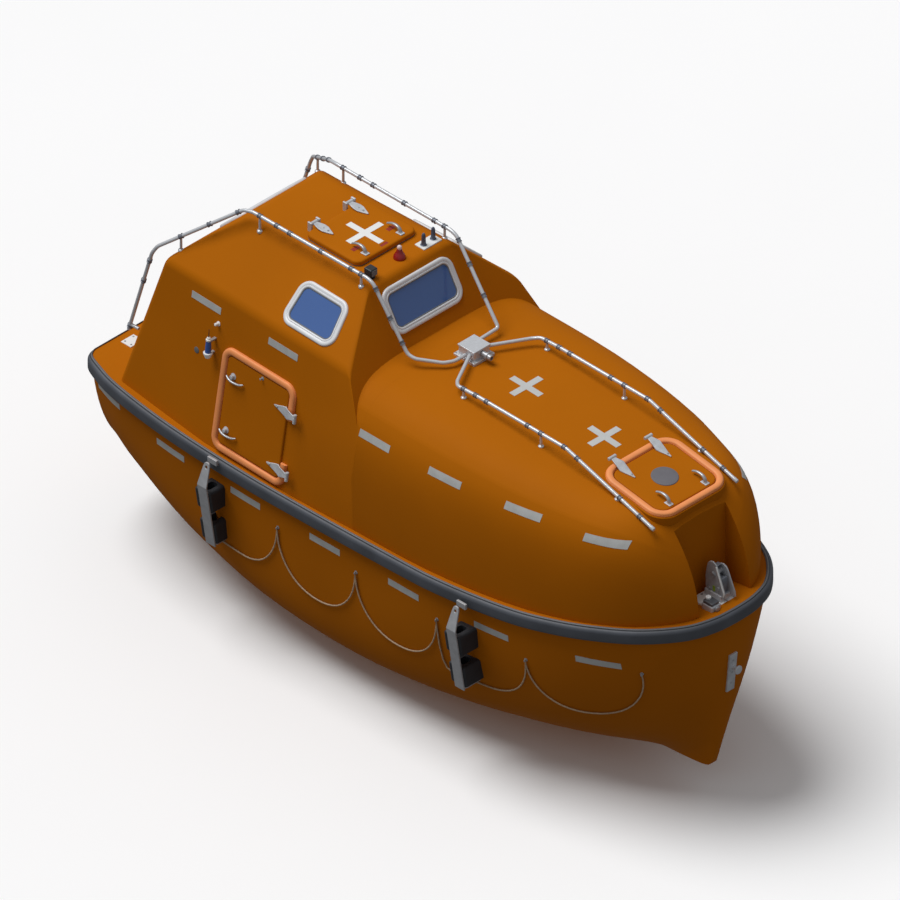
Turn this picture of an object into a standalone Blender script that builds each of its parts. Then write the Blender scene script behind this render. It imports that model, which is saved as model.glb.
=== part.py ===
"""Totally enclosed, davit-launched lifeboat of 5.70 m.

Metres. +X is the bow, +Y is port, +Z is up. The origin is amidships on the centreline, at the waterline.
Pieces on one side are drawn on the starboard side (negative Y), and side = 1 mirrors them to port.
"""

import math

import bmesh
import bpy
from mathutils import Vector

GAP = 0.0003
SIDES = {"starboard": -1, "port": 1}

# The hull's stations. Each section is a curve from the keel to the foot of the rubbing strake.
# x and half breadth and z at the sheer, x and z at the keel, then the curve's two middle handles.
HULL_ROWS = (
    (-2.822, 0.745, 0.695, -2.822, -0.280, 0.42, -0.270, 0.64, -0.12),
    (-2.785, 0.805, 0.694, -2.785, -0.285, 0.45, -0.275, 0.70, -0.13),
    (-2.680, 0.850, 0.693, -2.680, -0.300, 0.48, -0.290, 0.73, -0.15),
    (-2.400, 0.930, 0.690, -2.400, -0.350, 0.60, -0.330, 0.82, -0.23),
    (-1.800, 1.005, 0.683, -1.800, -0.470, 0.84, -0.460, 0.95, -0.36),
    (-1.000, 1.042, 0.680, -1.000, -0.600, 0.98, -0.600, 1.04, -0.50),
    (-0.100, 1.045, 0.690, -0.100, -0.640, 1.00, -0.660, 1.04, -0.55),
    (0.770, 1.045, 0.715, 0.770, -0.640, 0.87, -0.620, 1.02, -0.45),
    (1.490, 0.985, 0.762, 1.470, -0.620, 0.62, -0.560, 0.93, -0.33),
    (1.930, 0.880, 0.803, 1.880, -0.605, 0.40, -0.500, 0.83, -0.27),
    (2.280, 0.738, 0.845, 2.180, -0.595, 0.19, -0.420, 0.63, -0.22),
    (2.520, 0.592, 0.877, 2.370, -0.580, 0.09, -0.350, 0.41, -0.15),
    (2.710, 0.388, 0.900, 2.500, -0.565, 0.05, -0.290, 0.23, -0.05),
    (2.785, 0.190, 0.909, 2.570, -0.545, 0.03, -0.270, 0.10, 0.00),
    (2.800, 0.010, 0.910, 2.597, -0.520, 0.01, -0.260, 0.01, 0.00),
)
STRAKE_HEIGHT = 0.13
KEEL_HALF = 0.03
HULL_STEPS = 7
WELL_WALL = 0.10
# The well's ribs stand a little forward of the hull's own stations.
WELL_SHIFT = 0.011
SOLE_Z = -0.26
WELL_ROWS = (4, 10)

KEEL_BOTTOM = -0.75
KEEL_X = (-2.08, -1.85, 0.10, 0.60)

FENDER_THICK = 0.05
# The strip is thin across the transom: the share of its thickness at the first two stations.
FENDER_AFT = (0.36, 0.75)
FENDER_DROP = 0.115
FENDER_RISE = 0.010

# The cabin's rings: x and half breadth at the deck, then x, half breadth and z at the knuckle,
# and the same at the roof's edge.
WALL = 0.04
CABIN_AFT = (-2.45, 0.875, -2.10, 0.780, 1.852, -1.68, 0.360, 2.260)
CABIN_MID = (-1.50, 0.985, -1.50, 0.790, 1.852, -1.50, 0.363, 2.260)
CABIN_FRONT = (0.00, 1.010, -0.20, 0.835, 1.852, -0.44, 0.400, 2.260)
# The ring forward of the door, set so that the wall and the chamfer between it and the middle ring are flat.
CABIN_FORE_X = -0.58
FRONT_SLOPE = 0.585
# The foredeck's rings: x and half breadth at the deck, the section's two handles, then x and z of the crown.
DOME_ROWS = (
    (0.00, 1.010, 1.07, 1.86, 0.82, 1.800, -0.16, 1.800),
    (0.75, 1.008, 1.06, 1.85, 0.82, 1.785, 0.75, 1.783),
    (1.45, 0.950, 0.99, 1.81, 0.75, 1.750, 1.42, 1.743),
    (1.95, 0.840, 0.88, 1.76, 0.64, 1.710, 1.83, 1.712),
    (2.30, 0.695, 0.76, 1.71, 0.53, 1.680, 2.13, 1.675),
    (2.52, 0.540, 0.60, 1.57, 0.42, 1.630, 2.30, 1.648),
    (2.67, 0.345, 0.40, 1.36, 0.28, 1.585, 2.38, 1.637),
    (2.715, 0.165, 0.18, 1.31, 0.13, 1.572, 2.395, 1.636),
    (2.720, 0.010, 0.01, 1.30, 0.01, 1.570, 2.400, 1.636),
)
# Where the section's points lie along its curve. The fourth is the foot of the cabin's front corner.
SECTION_AT = (0.0, 0.12, 0.24, 0.36, 0.46, 0.56, 0.66, 0.77, 0.88, 1.0)
FOOT = 3
KNUCKLE = 4
ROOF_EDGE = 6
SPLIT_X = 0.02

RECESS_X = 2.454
RECESS_HALF = 0.255
RECESS_TOP = 1.75

DOOR_AFT = -1.42
DOOR_FORE = -0.67
DOOR_LOW = 0.692
DOOR_HIGH = 1.515
SEAL_WIDE = 0.055
SEAL_HIGH = 0.028
# The seal's section, as insets from its outer edge and heights over the wall.
SEAL_SECTION = (
    (0, GAP),
    (0.006, SEAL_HIGH * 0.7),
    (0.018, SEAL_HIGH),
    (SEAL_WIDE - 0.018, SEAL_HIGH),
    (SEAL_WIDE, SEAL_HIGH * 0.6),
    (SEAL_WIDE, GAP),
)
LEAF_GAP = 0.006
LEAF_THICK = 0.016
PLUG_DEEP = 0.030
LIP = 0.016
DOOR_RADIUS = 0.10
DOOR_SWING = 0.046
# How far the hinge pins stand outside the door's seal and the fore hatch's.
# Then the arms' and the handles' places up the door.
HINGE_OUT = 0.050
FORE_HINGE_OUT = 0.028
HINGE_UP = (-0.271, 0.194)
HANDLE_UP = (-0.256, 0.210)
# Where the door's seal stops short of each hinge, below and above.
SEAL_STOP = (0.055, -0.055)
ARM_R = 0.010
PIN_R = 0.013
HANDLE_R = 0.009

ROOF_HATCH = (-0.915, 0.265, 0.30)
# The roof hatch's pins stand this far aft of its lid and this far over the roof.
LID_HINGE_OUT = 0.03
LID_HINGE_UP = 0.055
LID_ARM_Y = (-0.175, 0.175)
FORE_HATCH = (2.105, 0.325, 0.355)
FORE_HATCH_TILT = math.radians(8.6)
FORE_ARM_Y = (-0.18, 0.18)

# The side window's middle: x, and its share of the way up the chamfer.
SIDE_WINDOW_X = -0.69
SIDE_WINDOW_UP = 0.40

PIPE_R = 0.014
PIPE_Y = 0.415
# The pipes' feet: where each meets its pipe, and for the roof's how low it reaches.
ROOF_FEET = ((-0.50, -0.415, 2.34, 2.20), (-1.51, -0.415, 2.34, 2.20), (-2.03, -0.680, 2.038, 1.86))
DECK_FEET = ((0.52, 1.862), (1.29, 1.864), (2.05, 1.707))

SHAFT_Z = -0.585
PROP_X = -2.35
# The gland under the hull that the nozzle's stock turns in.
GLAND_Z = -0.385
GLAND_R = 0.034


def clear_scene():
    for old in list(bpy.data.objects):
        bpy.data.objects.remove(old, do_unlink=True)


clear_scene()
PARTS = bpy.data.collections.new("enclosed_lifeboat")
CUTTERS = bpy.data.collections.new("cutters")
bpy.context.scene.collection.children.link(PARTS)
bpy.context.scene.collection.children.link(CUTTERS)


def material(name, colour, roughness, metallic=0.0):
    made = bpy.data.materials.new(name)
    made.use_nodes = True
    shader = made.node_tree.nodes["Principled BSDF"]
    shader.inputs["Base Color"].default_value = (*colour, 1)
    shader.inputs["Roughness"].default_value = roughness
    shader.inputs["Metallic"].default_value = metallic
    made.diffuse_color = (*colour, 1)
    return made


ORANGE = material("orange_gelcoat", (0.62, 0.16, 0.01), 0.35)
RUBBER = material("fender_rubber", (0.05, 0.055, 0.065), 0.7)
SEAL = material("seal_rubber", (0.80, 0.28, 0.12), 0.6)
FRAME = material("window_frame", (0.55, 0.56, 0.57), 0.4)
GLASS = material("window_glass", (0.05, 0.10, 0.25), 0.1)
STEEL = material("stainless_steel", (0.55, 0.56, 0.58), 0.3, 1.0)
PIPE = material("spray_pipe", (0.75, 0.76, 0.77), 0.35, 0.6)
BRONZE = material("propeller_bronze", (0.55, 0.38, 0.15), 0.35, 1.0)
BLACK = material("black_plastic", (0.02, 0.02, 0.022), 0.5)
RED = material("beacon_red", (0.25, 0.01, 0.01), 0.3)
ROPE = material("lifeline_rope", (0.75, 0.45, 0.25), 0.9)
LINER = material("white_liner", (0.75, 0.75, 0.73), 0.5)
ENGINE = material("engine_paint", (0.20, 0.24, 0.28), 0.5)
BLUE = material("canister_blue", (0.02, 0.05, 0.25), 0.4)


def add(name, mesh, look=None):
    """A part, or a cutter where no look is given."""
    made = bpy.data.objects.new(name, mesh)
    if look is None:
        CUTTERS.objects.link(made)
        made.hide_render = True
        made.display_type = "WIRE"
    else:
        PARTS.objects.link(made)
        mesh.materials.append(look)
    return made


def from_rings(name, rings, look=None, closed_path=False, caps=None, split=False):
    """A closed body lofted over rings of points. Rings may share points, where the body comes to an edge.

    caps is None for fans of one face, or a function that lists the faces of an end ring by its point numbers.
    split makes the sides of triangles, so that a grown copy of the body bends along the same lines.
    """
    places, index = [], {}

    def number(point):
        key = tuple(round(c, 6) for c in point)
        if key not in index:
            index[key] = len(places)
            places.append(key)
        return index[key]

    table = [[number(p) for p in ring] for ring in rings]
    faces = []

    def face(corners):
        kept = [c for i, c in enumerate(corners) if c != corners[i - 1]]
        if len(set(kept)) == len(kept) >= 3:
            faces.append(kept)

    count = len(table[0])
    pairs = list(zip(table, table[1:]))
    if closed_path:
        pairs.append((table[-1], table[0]))
    for here, there in pairs:
        for i in range(count):
            j = (i + 1) % count
            if split:
                face([here[i], here[j], there[j]])
                face([here[i], there[j], there[i]])
            else:
                face([here[i], here[j], there[j], there[i]])
    if not closed_path:
        for ring, turn in ((table[0], -1), (table[-1], 1)):
            lists = caps(count) if caps else [list(range(count))]
            for corners in lists:
                face([ring[c] for c in corners][::turn])
    mesh = bpy.data.meshes.new(name)
    mesh.from_pydata(places, [], faces)
    work = bmesh.new()
    work.from_mesh(mesh)
    bmesh.ops.recalc_face_normals(work, faces=work.faces)
    work.to_mesh(mesh)
    work.free()
    return add(name, mesh, look)


def ladder(count):
    """End faces that join each point to the one across the centreline."""
    half = count // 2
    return [[i, i + 1, count - 2 - i, count - 1 - i] for i in range(half - 1)]


def combine(target, tool, how):
    step = target.modifiers.new(how.lower(), "BOOLEAN")
    step.operation = how
    step.solver = "EXACT"
    step.object = tool
    if tool.name not in CUTTERS.objects:
        for home in list(tool.users_collection):
            home.objects.unlink(tool)
        CUTTERS.objects.link(tool)
        tool.hide_render = True
        tool.display_type = "WIRE"
    return target


def join(target, *tools):
    for tool in tools:
        combine(target, tool, "UNION")
    return target


def cut(target, *tools):
    for tool in tools:
        combine(target, tool, "DIFFERENCE")
    return target


def box(name, low, high, look=None, bevel=0.0):
    mesh = bpy.data.meshes.new(name)
    work = bmesh.new()
    bmesh.ops.create_cube(work, size=1)
    for v in work.verts:
        for axis in range(3):
            v.co[axis] = (low[axis] + high[axis]) / 2 + v.co[axis] * (high[axis] - low[axis])
    work.to_mesh(mesh)
    work.free()
    made = add(name, mesh, look)
    if bevel:
        edge = made.modifiers.new("rounded", "BEVEL")
        edge.width = bevel
        edge.segments = 2
    return made


def cone(name, start, end, r1, r2, look=None, sides=16):
    """A cylinder or cone between two points."""
    start, end = Vector(start), Vector(end)
    run = end - start
    mesh = bpy.data.meshes.new(name)
    work = bmesh.new()
    bmesh.ops.create_cone(
        work, cap_ends=True, segments=sides, radius1=r1, radius2=r2, depth=run.length
    )
    turn = run.to_track_quat("Z", "Y").to_matrix().to_4x4()
    turn.translation = (start + end) / 2
    bmesh.ops.transform(work, matrix=turn, verts=work.verts)
    work.to_mesh(mesh)
    work.free()
    mesh.shade_smooth()
    mesh.set_sharp_from_angle(angle=math.radians(40))
    return add(name, mesh, look)


def tube(name, points, radius, look=None, sides=2):
    """A pipe or rope along points, as a mesh."""
    curve = bpy.data.curves.new(name, "CURVE")
    curve.dimensions = "3D"
    curve.bevel_depth = radius
    curve.bevel_resolution = sides
    curve.use_fill_caps = True
    line = curve.splines.new("POLY")
    line.points.add(len(points) - 1)
    for spot, place in zip(line.points, points):
        spot.co = (*place, 1)
    guide = bpy.data.objects.new(name + "_curve", curve)
    bpy.context.scene.collection.objects.link(guide)
    graph = bpy.context.evaluated_depsgraph_get()
    mesh = bpy.data.meshes.new_from_object(guide.evaluated_get(graph))
    bpy.data.objects.remove(guide, do_unlink=True)
    work = bmesh.new()
    work.from_mesh(mesh)
    bmesh.ops.remove_doubles(work, verts=work.verts, dist=0.00001)
    bmesh.ops.recalc_face_normals(work, faces=work.faces)
    work.to_mesh(mesh)
    work.free()
    mesh.name = name
    mesh.materials.clear()
    return add(name, mesh, look)


def handles(p0, p1, p2, p3, t):
    s = 1 - t
    return s * s * s * p0 + 3 * t * s * s * p1 + 3 * t * t * s * p2 + t * t * t * p3


def hull_half(row, grow=0.0):
    """One section of the hull's starboard half, keel to sheer, grown outward by grow."""
    x_top, half, z_top, x_keel, z_keel, b1, z1, b2, z2 = row
    foot = z_top - STRAKE_HEIGHT
    reach = 0.45 * (x_top - x_keel)
    points = []
    for i in range(HULL_STEPS + 1):
        t = i / HULL_STEPS
        x = handles(x_keel, x_keel + reach, x_top - reach * 0.5, x_top, t)
        b = handles(min(KEEL_HALF, half), b1, b2, half, t)
        z = handles(z_keel, z1, z2, foot, t)
        points.append((x, -max(b + grow, 0.005), z - grow * (1 - t)))
    points.append((x_top, -max(half + grow, 0.005), z_top + max(grow, 0)))
    return points


def both(half):
    """A whole ring from a starboard half that runs bottom to top."""
    return half + [(x, -y, z) for x, y, z in reversed(half)]


def hull_body(name, look=None, grow=0.0):
    rings = []
    for i, row in enumerate(HULL_ROWS):
        ring = both(hull_half(row, grow))
        push = -grow if i == 0 else grow if i == len(HULL_ROWS) - 1 else 0.0
        rings.append([(x + push, y, z) for x, y, z in ring])
    return from_rings(name, rings, look, caps=ladder, split=True)


def hull_breadth(x, z):
    """The hull's half breadth at a place along its parallel body."""
    for i in range(len(HULL_ROWS) - 1):
        a, b = hull_half(HULL_ROWS[i]), hull_half(HULL_ROWS[i + 1])
        if not a[-1][0] <= x <= b[-1][0]:
            continue
        side = []
        for p, q in zip(a, b):
            t = (x - a[-1][0]) / (b[-1][0] - a[-1][0])
            side.append((-(p[1] + t * (q[1] - p[1])), p[2] + t * (q[2] - p[2])))
        for (b0, z0), (b1, z1) in zip(side, side[1:]):
            if z0 <= z <= z1:
                return b0 + (z - z0) / (z1 - z0) * (b1 - b0)
    raise ValueError("no hull there")


def build_hull():
    hull = hull_body("hull", ORANGE)
    rings = []
    first, last = WELL_ROWS
    for row in HULL_ROWS[first : last + 1]:
        half = []
        x = row[0] + WELL_SHIFT
        for _, y, z in hull_half(row):
            half.append((x, min(y + WELL_WALL, -0.02), max(z + WELL_WALL, SOLE_Z)))
        half[-1] = (x, half[-1][1], half[-1][2] + 0.3)
        rings.append(both(half))
    cut(hull, from_rings("well", rings))
    gland = cone("stock_gland", (PROP_X, 0, -0.30), (PROP_X, 0, GLAND_Z), GLAND_R, GLAND_R)
    return join(hull, gland)


def build_keel():
    """The skeg: it follows the hull's flat keel line, and its aft end carries the shaft's boss."""
    heel, aft, fore, tip = KEEL_X
    top = []
    for row in HULL_ROWS:
        if heel < row[3] < tip:
            top.append((row[3], row[4] - GAP))

    def keel_line(x):
        for a, b in zip(HULL_ROWS, HULL_ROWS[1:]):
            if a[3] <= x <= b[3]:
                return a[4] + (x - a[3]) / (b[3] - a[3]) * (b[4] - a[4]) - GAP
        raise ValueError("off the keel")

    sides = [(heel, keel_line(heel))] + top + [(tip, keel_line(tip))]
    sides += [(fore, KEEL_BOTTOM), (aft, KEEL_BOTTOM), (heel, KEEL_BOTTOM)]
    rings = [[(x, y, z) for x, z in sides] for y in (-KEEL_HALF, KEEL_HALF)]
    keel = from_rings("keel", rings, ORANGE)
    boss = cone("shaft_boss", (-1.90, 0, SHAFT_Z), (-2.14, 0, SHAFT_Z), 0.055, 0.038)
    return join(keel, boss)


def build_fender():
    """A rubber strip round the whole sheer, seated on the strake's flat face."""
    path = [(row[0], -row[1], row[2]) for row in HULL_ROWS]
    path = path + [(x, -y, z) for x, y, z in reversed(path)]
    count = len(path)
    section = (
        (0.0, -FENDER_DROP),
        (FENDER_THICK * 0.7, -FENDER_DROP),
        (FENDER_THICK, -FENDER_DROP + 0.03),
        (FENDER_THICK, -0.02),
        (FENDER_THICK * 0.6, FENDER_RISE),
        (0.0, FENDER_RISE),
    )
    rings = []
    for i, (x, y, z) in enumerate(path):
        back, on = Vector(path[i - 1][:2]), Vector(path[(i + 1) % count][:2])
        here = Vector((x, y))
        one, two = (here - back).normalized(), (on - here).normalized()
        out = Vector((one.y + two.y, -one.x - two.x)).normalized()
        stretch = 1 / max(out.dot(Vector((one.y, -one.x))), 0.3)
        thin = min(i, count - 1 - i)
        share = FENDER_AFT[thin] if thin < len(FENDER_AFT) else 1.0
        ring = []
        for d, dz in section:
            reach = (GAP + d * share) * stretch
            ring.append((x + out.x * reach, y + out.y * reach, z + dz))
        rings.append(ring)
    return from_rings("fender", rings, RUBBER, closed_path=True)


def deck_z(x):
    """The deck's height at x, from the sheer's table."""
    for a, b in zip(HULL_ROWS, HULL_ROWS[1:]):
        if a[0] <= x <= b[0]:
            return a[2] + (x - a[0]) / (b[0] - a[0]) * (b[2] - a[2])
    raise ValueError("off the deck")


def cabin_fore():
    """The ring forward of the door, in the planes of the wall and the chamfer."""
    x0, b0, x1, b1, z1, x2, b2, z2 = CABIN_MID
    run = CABIN_FORE_X - x0
    knuckle = b1 + run * (CABIN_FRONT[3] - b1) / (CABIN_FRONT[2] - x1)
    roof = b2 + run * (CABIN_FRONT[3] - b1) / (CABIN_FRONT[2] - x1)
    lean = (b0 - b1) / (z1 - deck_z(x0))
    base = knuckle + lean * (z1 - deck_z(CABIN_FORE_X))
    return (CABIN_FORE_X, base, CABIN_FORE_X, knuckle, z1, CABIN_FORE_X, roof, z2)


def cabin_half(row, grow, push):
    """A cabin ring's starboard half, deck to roof's middle."""
    x0, b0, x1, b1, z1, x2, b2, z2 = row
    z0 = deck_z(x0)
    foot = handles(z0, DOME_ROWS[0][3], DOME_ROWS[0][5], DOME_ROWS[0][7], SECTION_AT[FOOT])
    points = []
    for j in range(len(SECTION_AT)):
        if j <= KNUCKLE:
            t = j / FOOT * (foot - z0) / (z1 - z0) if j <= FOOT else 1.0
            x, b, z = x0 + t * (x1 - x0), b0 + t * (b1 - b0), z0 + t * (z1 - z0)
        elif j <= ROOF_EDGE:
            t = (j - KNUCKLE) / (ROOF_EDGE - KNUCKLE)
            x, b, z = x1 + t * (x2 - x1), b1 + t * (b2 - b1), z1 + t * (z2 - z1)
        else:
            t = (j - ROOF_EDGE) / (len(SECTION_AT) - 1 - ROOF_EDGE)
            x, b, z = x2, b2 * (1 - t), z2
        points.append((x, b, z))
    return finished_half(points, grow, push)


def front_x(z):
    """The plane of the cabin's front face."""
    return CABIN_FRONT[2] + FRONT_SLOPE * (CABIN_FRONT[4] - z)


def dome_half(row, grow, push, on_front=False):
    x0, b0, b1, z1, b2, z2, x3, z3 = row
    z0 = deck_z(x0)
    points = []
    for t in SECTION_AT:
        b, z = handles(b0, b1, b2, 0.0, t), handles(z0, z1, z2, z3, t)
        x = x0 + (x3 - x0) * t * t * (3 - 2 * t)
        if on_front:
            x = min(x0, front_x(z))
        points.append((x, b, z))
    return finished_half(points, grow, push)


def finished_half(points, grow, push):
    """Moves a half ring outward by grow and along x by push. A shrunk one also reaches below the deck."""
    made = []
    for j, (x, b, z) in enumerate(points):
        lift = grow if j > FOOT else 0.0
        if j == 0:
            lift = GAP if grow == 0 else -0.1
        b = max(b + grow, 0.004) if j < len(points) - 1 else 0.0
        made.append((x + push, -b, z + lift))
    return made


def front_ring(grow, push):
    """The cabin's front edges: the foredeck's section up to the foot, then the knuckle and the roof."""
    low = dome_half(DOME_ROWS[0], grow, push, on_front=True)
    high = cabin_half(CABIN_FRONT, grow, push)
    return low[: FOOT + 1] + high[FOOT + 1 :]


def canopy_body(name, grow=0.0, look=None):
    """The whole canopy as one solid, from the aft wall to the nose."""
    sign = -1 if grow < 0 else 1
    slack = abs(grow) * 1.2
    halves = [
        cabin_half(CABIN_AFT, grow, -sign * slack),
        cabin_half(CABIN_MID, grow, 0),
        cabin_half(cabin_fore(), grow, 0),
        front_ring(grow, sign * slack),
        dome_half(DOME_ROWS[0], grow, sign * slack, on_front=True),
    ]
    # The shrunk one stops short of the nose, inside the recess's back wall.
    fore_rows = DOME_ROWS[1:] if grow >= 0 else DOME_ROWS[1:-1]
    for row in fore_rows:
        ahead = max(0.0, (row[0] - 2.3) / 0.42)
        halves.append(dome_half(row, grow, sign * slack * ahead))
    rings = [half + [(x, -y, z) for x, y, z in reversed(half[:-1])] for half in halves]
    top = len(SECTION_AT) - 1

    def ends(count):
        """The wall's bands, then one face up to the whole top edge."""
        bands = [[i, i + 1, count - 2 - i, count - 1 - i] for i in range(ROOF_EDGE - 1)]
        last = ROOF_EDGE - 1
        return bands + [list(range(last, 2 * top - last + 1))]

    return from_rings(name, rings, look, caps=ends, split=True)


def frame_on(origin, forward, up):
    """Axes on a face: along, up and out of it."""
    forward, up = Vector(forward).normalized(), Vector(up)
    out = forward.cross(up).normalized()
    up = out.cross(forward).normalized()
    return Vector(origin), forward, up, out


def outline(corners, radius, inset, steps=5):
    """A convex outline with round corners, drawn inset from its own edge."""
    count = len(corners)
    radius = max(radius - inset, 0.004)
    points = []
    for i in range(count):
        here = Vector(corners[i])
        one = (here - Vector(corners[i - 1])).normalized()
        two = (Vector(corners[(i + 1) % count]) - here).normalized()
        n1, n2 = Vector((-one.y, one.x)), Vector((-two.y, two.x))
        bisect = (n1 + n2) / (1 + n1.dot(n2))
        centre = here + bisect * (inset + radius)
        start = math.atan2(-n1.y, -n1.x)
        sweep = math.atan2(one.cross(two), one.dot(two))
        for k in range(steps + 1):
            a = start + sweep * k / steps
            points.append((centre.x + radius * math.cos(a), centre.y + radius * math.sin(a)))
    return points


def stack(name, frame, corners, radius, levels, look=None, ring=False, side=-1):
    """A body of outlines at levels of (inset, height), closed at both ends, or a ring if they go round."""
    origin, along, up, out = frame
    rings = []
    for inset, height in levels:
        made = []
        for u, v in outline(corners, radius, inset):
            p = origin + along * u + up * v + out * height
            made.append((p.x, p.y * -side, p.z))
        rings.append(made)
    return from_rings(name, rings, look, closed_path=ring)


def rectangle(half_u, half_v):
    return ((-half_u, -half_v), (half_u, -half_v), (half_u, half_v), (-half_u, half_v))


def mirrored(points, side):
    """Starboard points, for either side."""
    return [(x, y * -side, z) for x, y, z in points]


def wall_frame():
    """The starboard wall at the door."""
    x0, b0, x1, b1, z1 = CABIN_MID[:5]
    knuckle = Vector((x1, -b1, z1))
    forward = Vector((1, -(cabin_fore()[3] - b1) / (CABIN_FORE_X - x1), 0))
    rise = knuckle - Vector((x0, -b0, deck_z(x0)))
    middle = knuckle + forward * ((DOOR_AFT + DOOR_FORE) / 2 - x1)
    drop = ((DOOR_LOW + DOOR_HIGH) / 2 - middle.z) / rise.z
    return frame_on(middle + rise * drop, forward, rise)


def chamfer_frame():
    """The starboard chamfer, at the side window."""
    knuckle = Vector((CABIN_MID[2], -CABIN_MID[3], CABIN_MID[4]))
    front = Vector((CABIN_FRONT[2], -CABIN_FRONT[3], CABIN_FRONT[4]))
    roof = Vector((CABIN_MID[5], -CABIN_MID[6], CABIN_MID[7]))
    along = (front - knuckle) / (front.x - knuckle.x)
    rise = roof - knuckle
    middle = knuckle + along * (SIDE_WINDOW_X - knuckle.x) + rise * SIDE_WINDOW_UP
    return frame_on(middle, along, rise)


def door_parts(word, side):
    frame = wall_frame()
    long, tall = (DOOR_FORE - DOOR_AFT) / 2, (DOOR_HIGH - DOOR_LOW) / 2
    corners = rectangle(long, tall)
    leaf_edge = SEAL_WIDE + LEAF_GAP
    hole = leaf_edge + LIP
    seal = stack(
        f"door_seal_{word}",
        frame,
        corners,
        DOOR_RADIUS,
        SEAL_SECTION,
        SEAL,
        ring=True,
        side=side,
    )
    inner, outer = long - 0.08, long + 0.03
    low, high = (v + d for v, d in zip(HINGE_UP, SEAL_STOP))
    notch = [(inner, low), (outer, low), (outer, high), (inner, high)]
    cut(seal, stack("seal_notch", frame, notch, 0.004, ((0, -0.02), (0, 0.06)), side=side))
    leaf = stack(
        f"door_{word}",
        frame,
        corners,
        DOOR_RADIUS,
        (
            (hole + 0.012, -PLUG_DEEP),
            (hole + 0.012, GAP),
            (leaf_edge, GAP),
            (leaf_edge, LEAF_THICK),
        ),
        ORANGE,
        side=side,
    )
    origin, along, up, out = frame
    pin_at = long + HINGE_OUT
    for v in HINGE_UP:
        arm = []
        for u, n in ((long - 0.15, LEAF_THICK * 0.5), (long - 0.10, DOOR_SWING), (pin_at, DOOR_SWING)):
            p = origin + along * u + up * v + out * n
            arm.append((p.x, p.y * -side, p.z))
        join(leaf, tube("hinge_arm", arm, ARM_R))
        pin = [origin + along * pin_at + up * (v + d) + out * DOOR_SWING for d in (-0.035, 0.035)]
        join(leaf, cone("hinge_pin", *mirrored(pin, side), PIN_R, PIN_R))
    for v in HANDLE_UP:
        grip = [
            origin + along * (-long + 0.09) + up * v + out * LEAF_THICK * 0.5,
            origin + along * (-long + 0.09) + up * v + out * 0.055,
            origin + along * (-long + 0.20) + up * (v - 0.015) + out * 0.055,
        ]
        join(leaf, tube("door_handle", mirrored(grip, side), HANDLE_R))
    opening = stack(
        f"door_opening_{word}", frame, corners, DOOR_RADIUS, ((hole, -0.12), (hole, 0.08)), side=side
    )
    return opening


def window(word, frame, corners, side=-1):
    wide = 0.050
    radius = 0.100
    hole = stack(
        f"window_opening_{word}", frame, corners, radius, ((wide, -0.15), (wide, 0.08)), side=side
    )
    stack(
        f"window_frame_{word}",
        frame,
        corners,
        radius,
        ((0, GAP), (0, 0.010), (0.006, 0.016), (wide - 0.004, 0.016), (wide, 0.012), (wide, GAP)),
        FRAME,
        ring=True,
        side=side,
    )
    stack(
        f"window_glass_{word}",
        frame,
        corners,
        radius,
        ((wide + GAP, -0.006), (wide + GAP, 0.006)),
        GLASS,
        side=side,
    )
    return hole


def roof_hatch():
    x, half_x, half_y = ROOF_HATCH
    roof = CABIN_MID[7]
    frame = frame_on((x, 0, roof), (1, 0, 0), (0, 1, 0))
    corners = rectangle(half_x, half_y)
    lid = stack(
        "roof_hatch",
        frame,
        corners,
        0.06,
        ((0.065, -0.03), (0.065, GAP), (0.0, GAP), (0.0, 0.030), (0.012, 0.042)),
        ORANGE,
    )
    hinge_x, hinge_z = x - half_x - LID_HINGE_OUT, roof + LID_HINGE_UP
    for y in LID_ARM_Y:
        arm = [(hinge_x, y, hinge_z), (x - 0.05, y, hinge_z), (x - 0.03, y, roof + 0.035)]
        join(lid, tube("lid_arm", arm, 0.011))
        join(lid, cone("lid_pin", (hinge_x, y - 0.03, hinge_z), (hinge_x, y + 0.03, hinge_z), 0.015, 0.015))
        grip = [(x + 0.165, y, roof + 0.02), (x + 0.17, y, roof + 0.078), (x + 0.26, y, roof + 0.066)]
        join(lid, tube("lid_handle", grip, HANDLE_R))
    return stack("roof_opening", frame, corners, 0.06, ((0.053, -0.15), (0.053, 0.08)))


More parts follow.
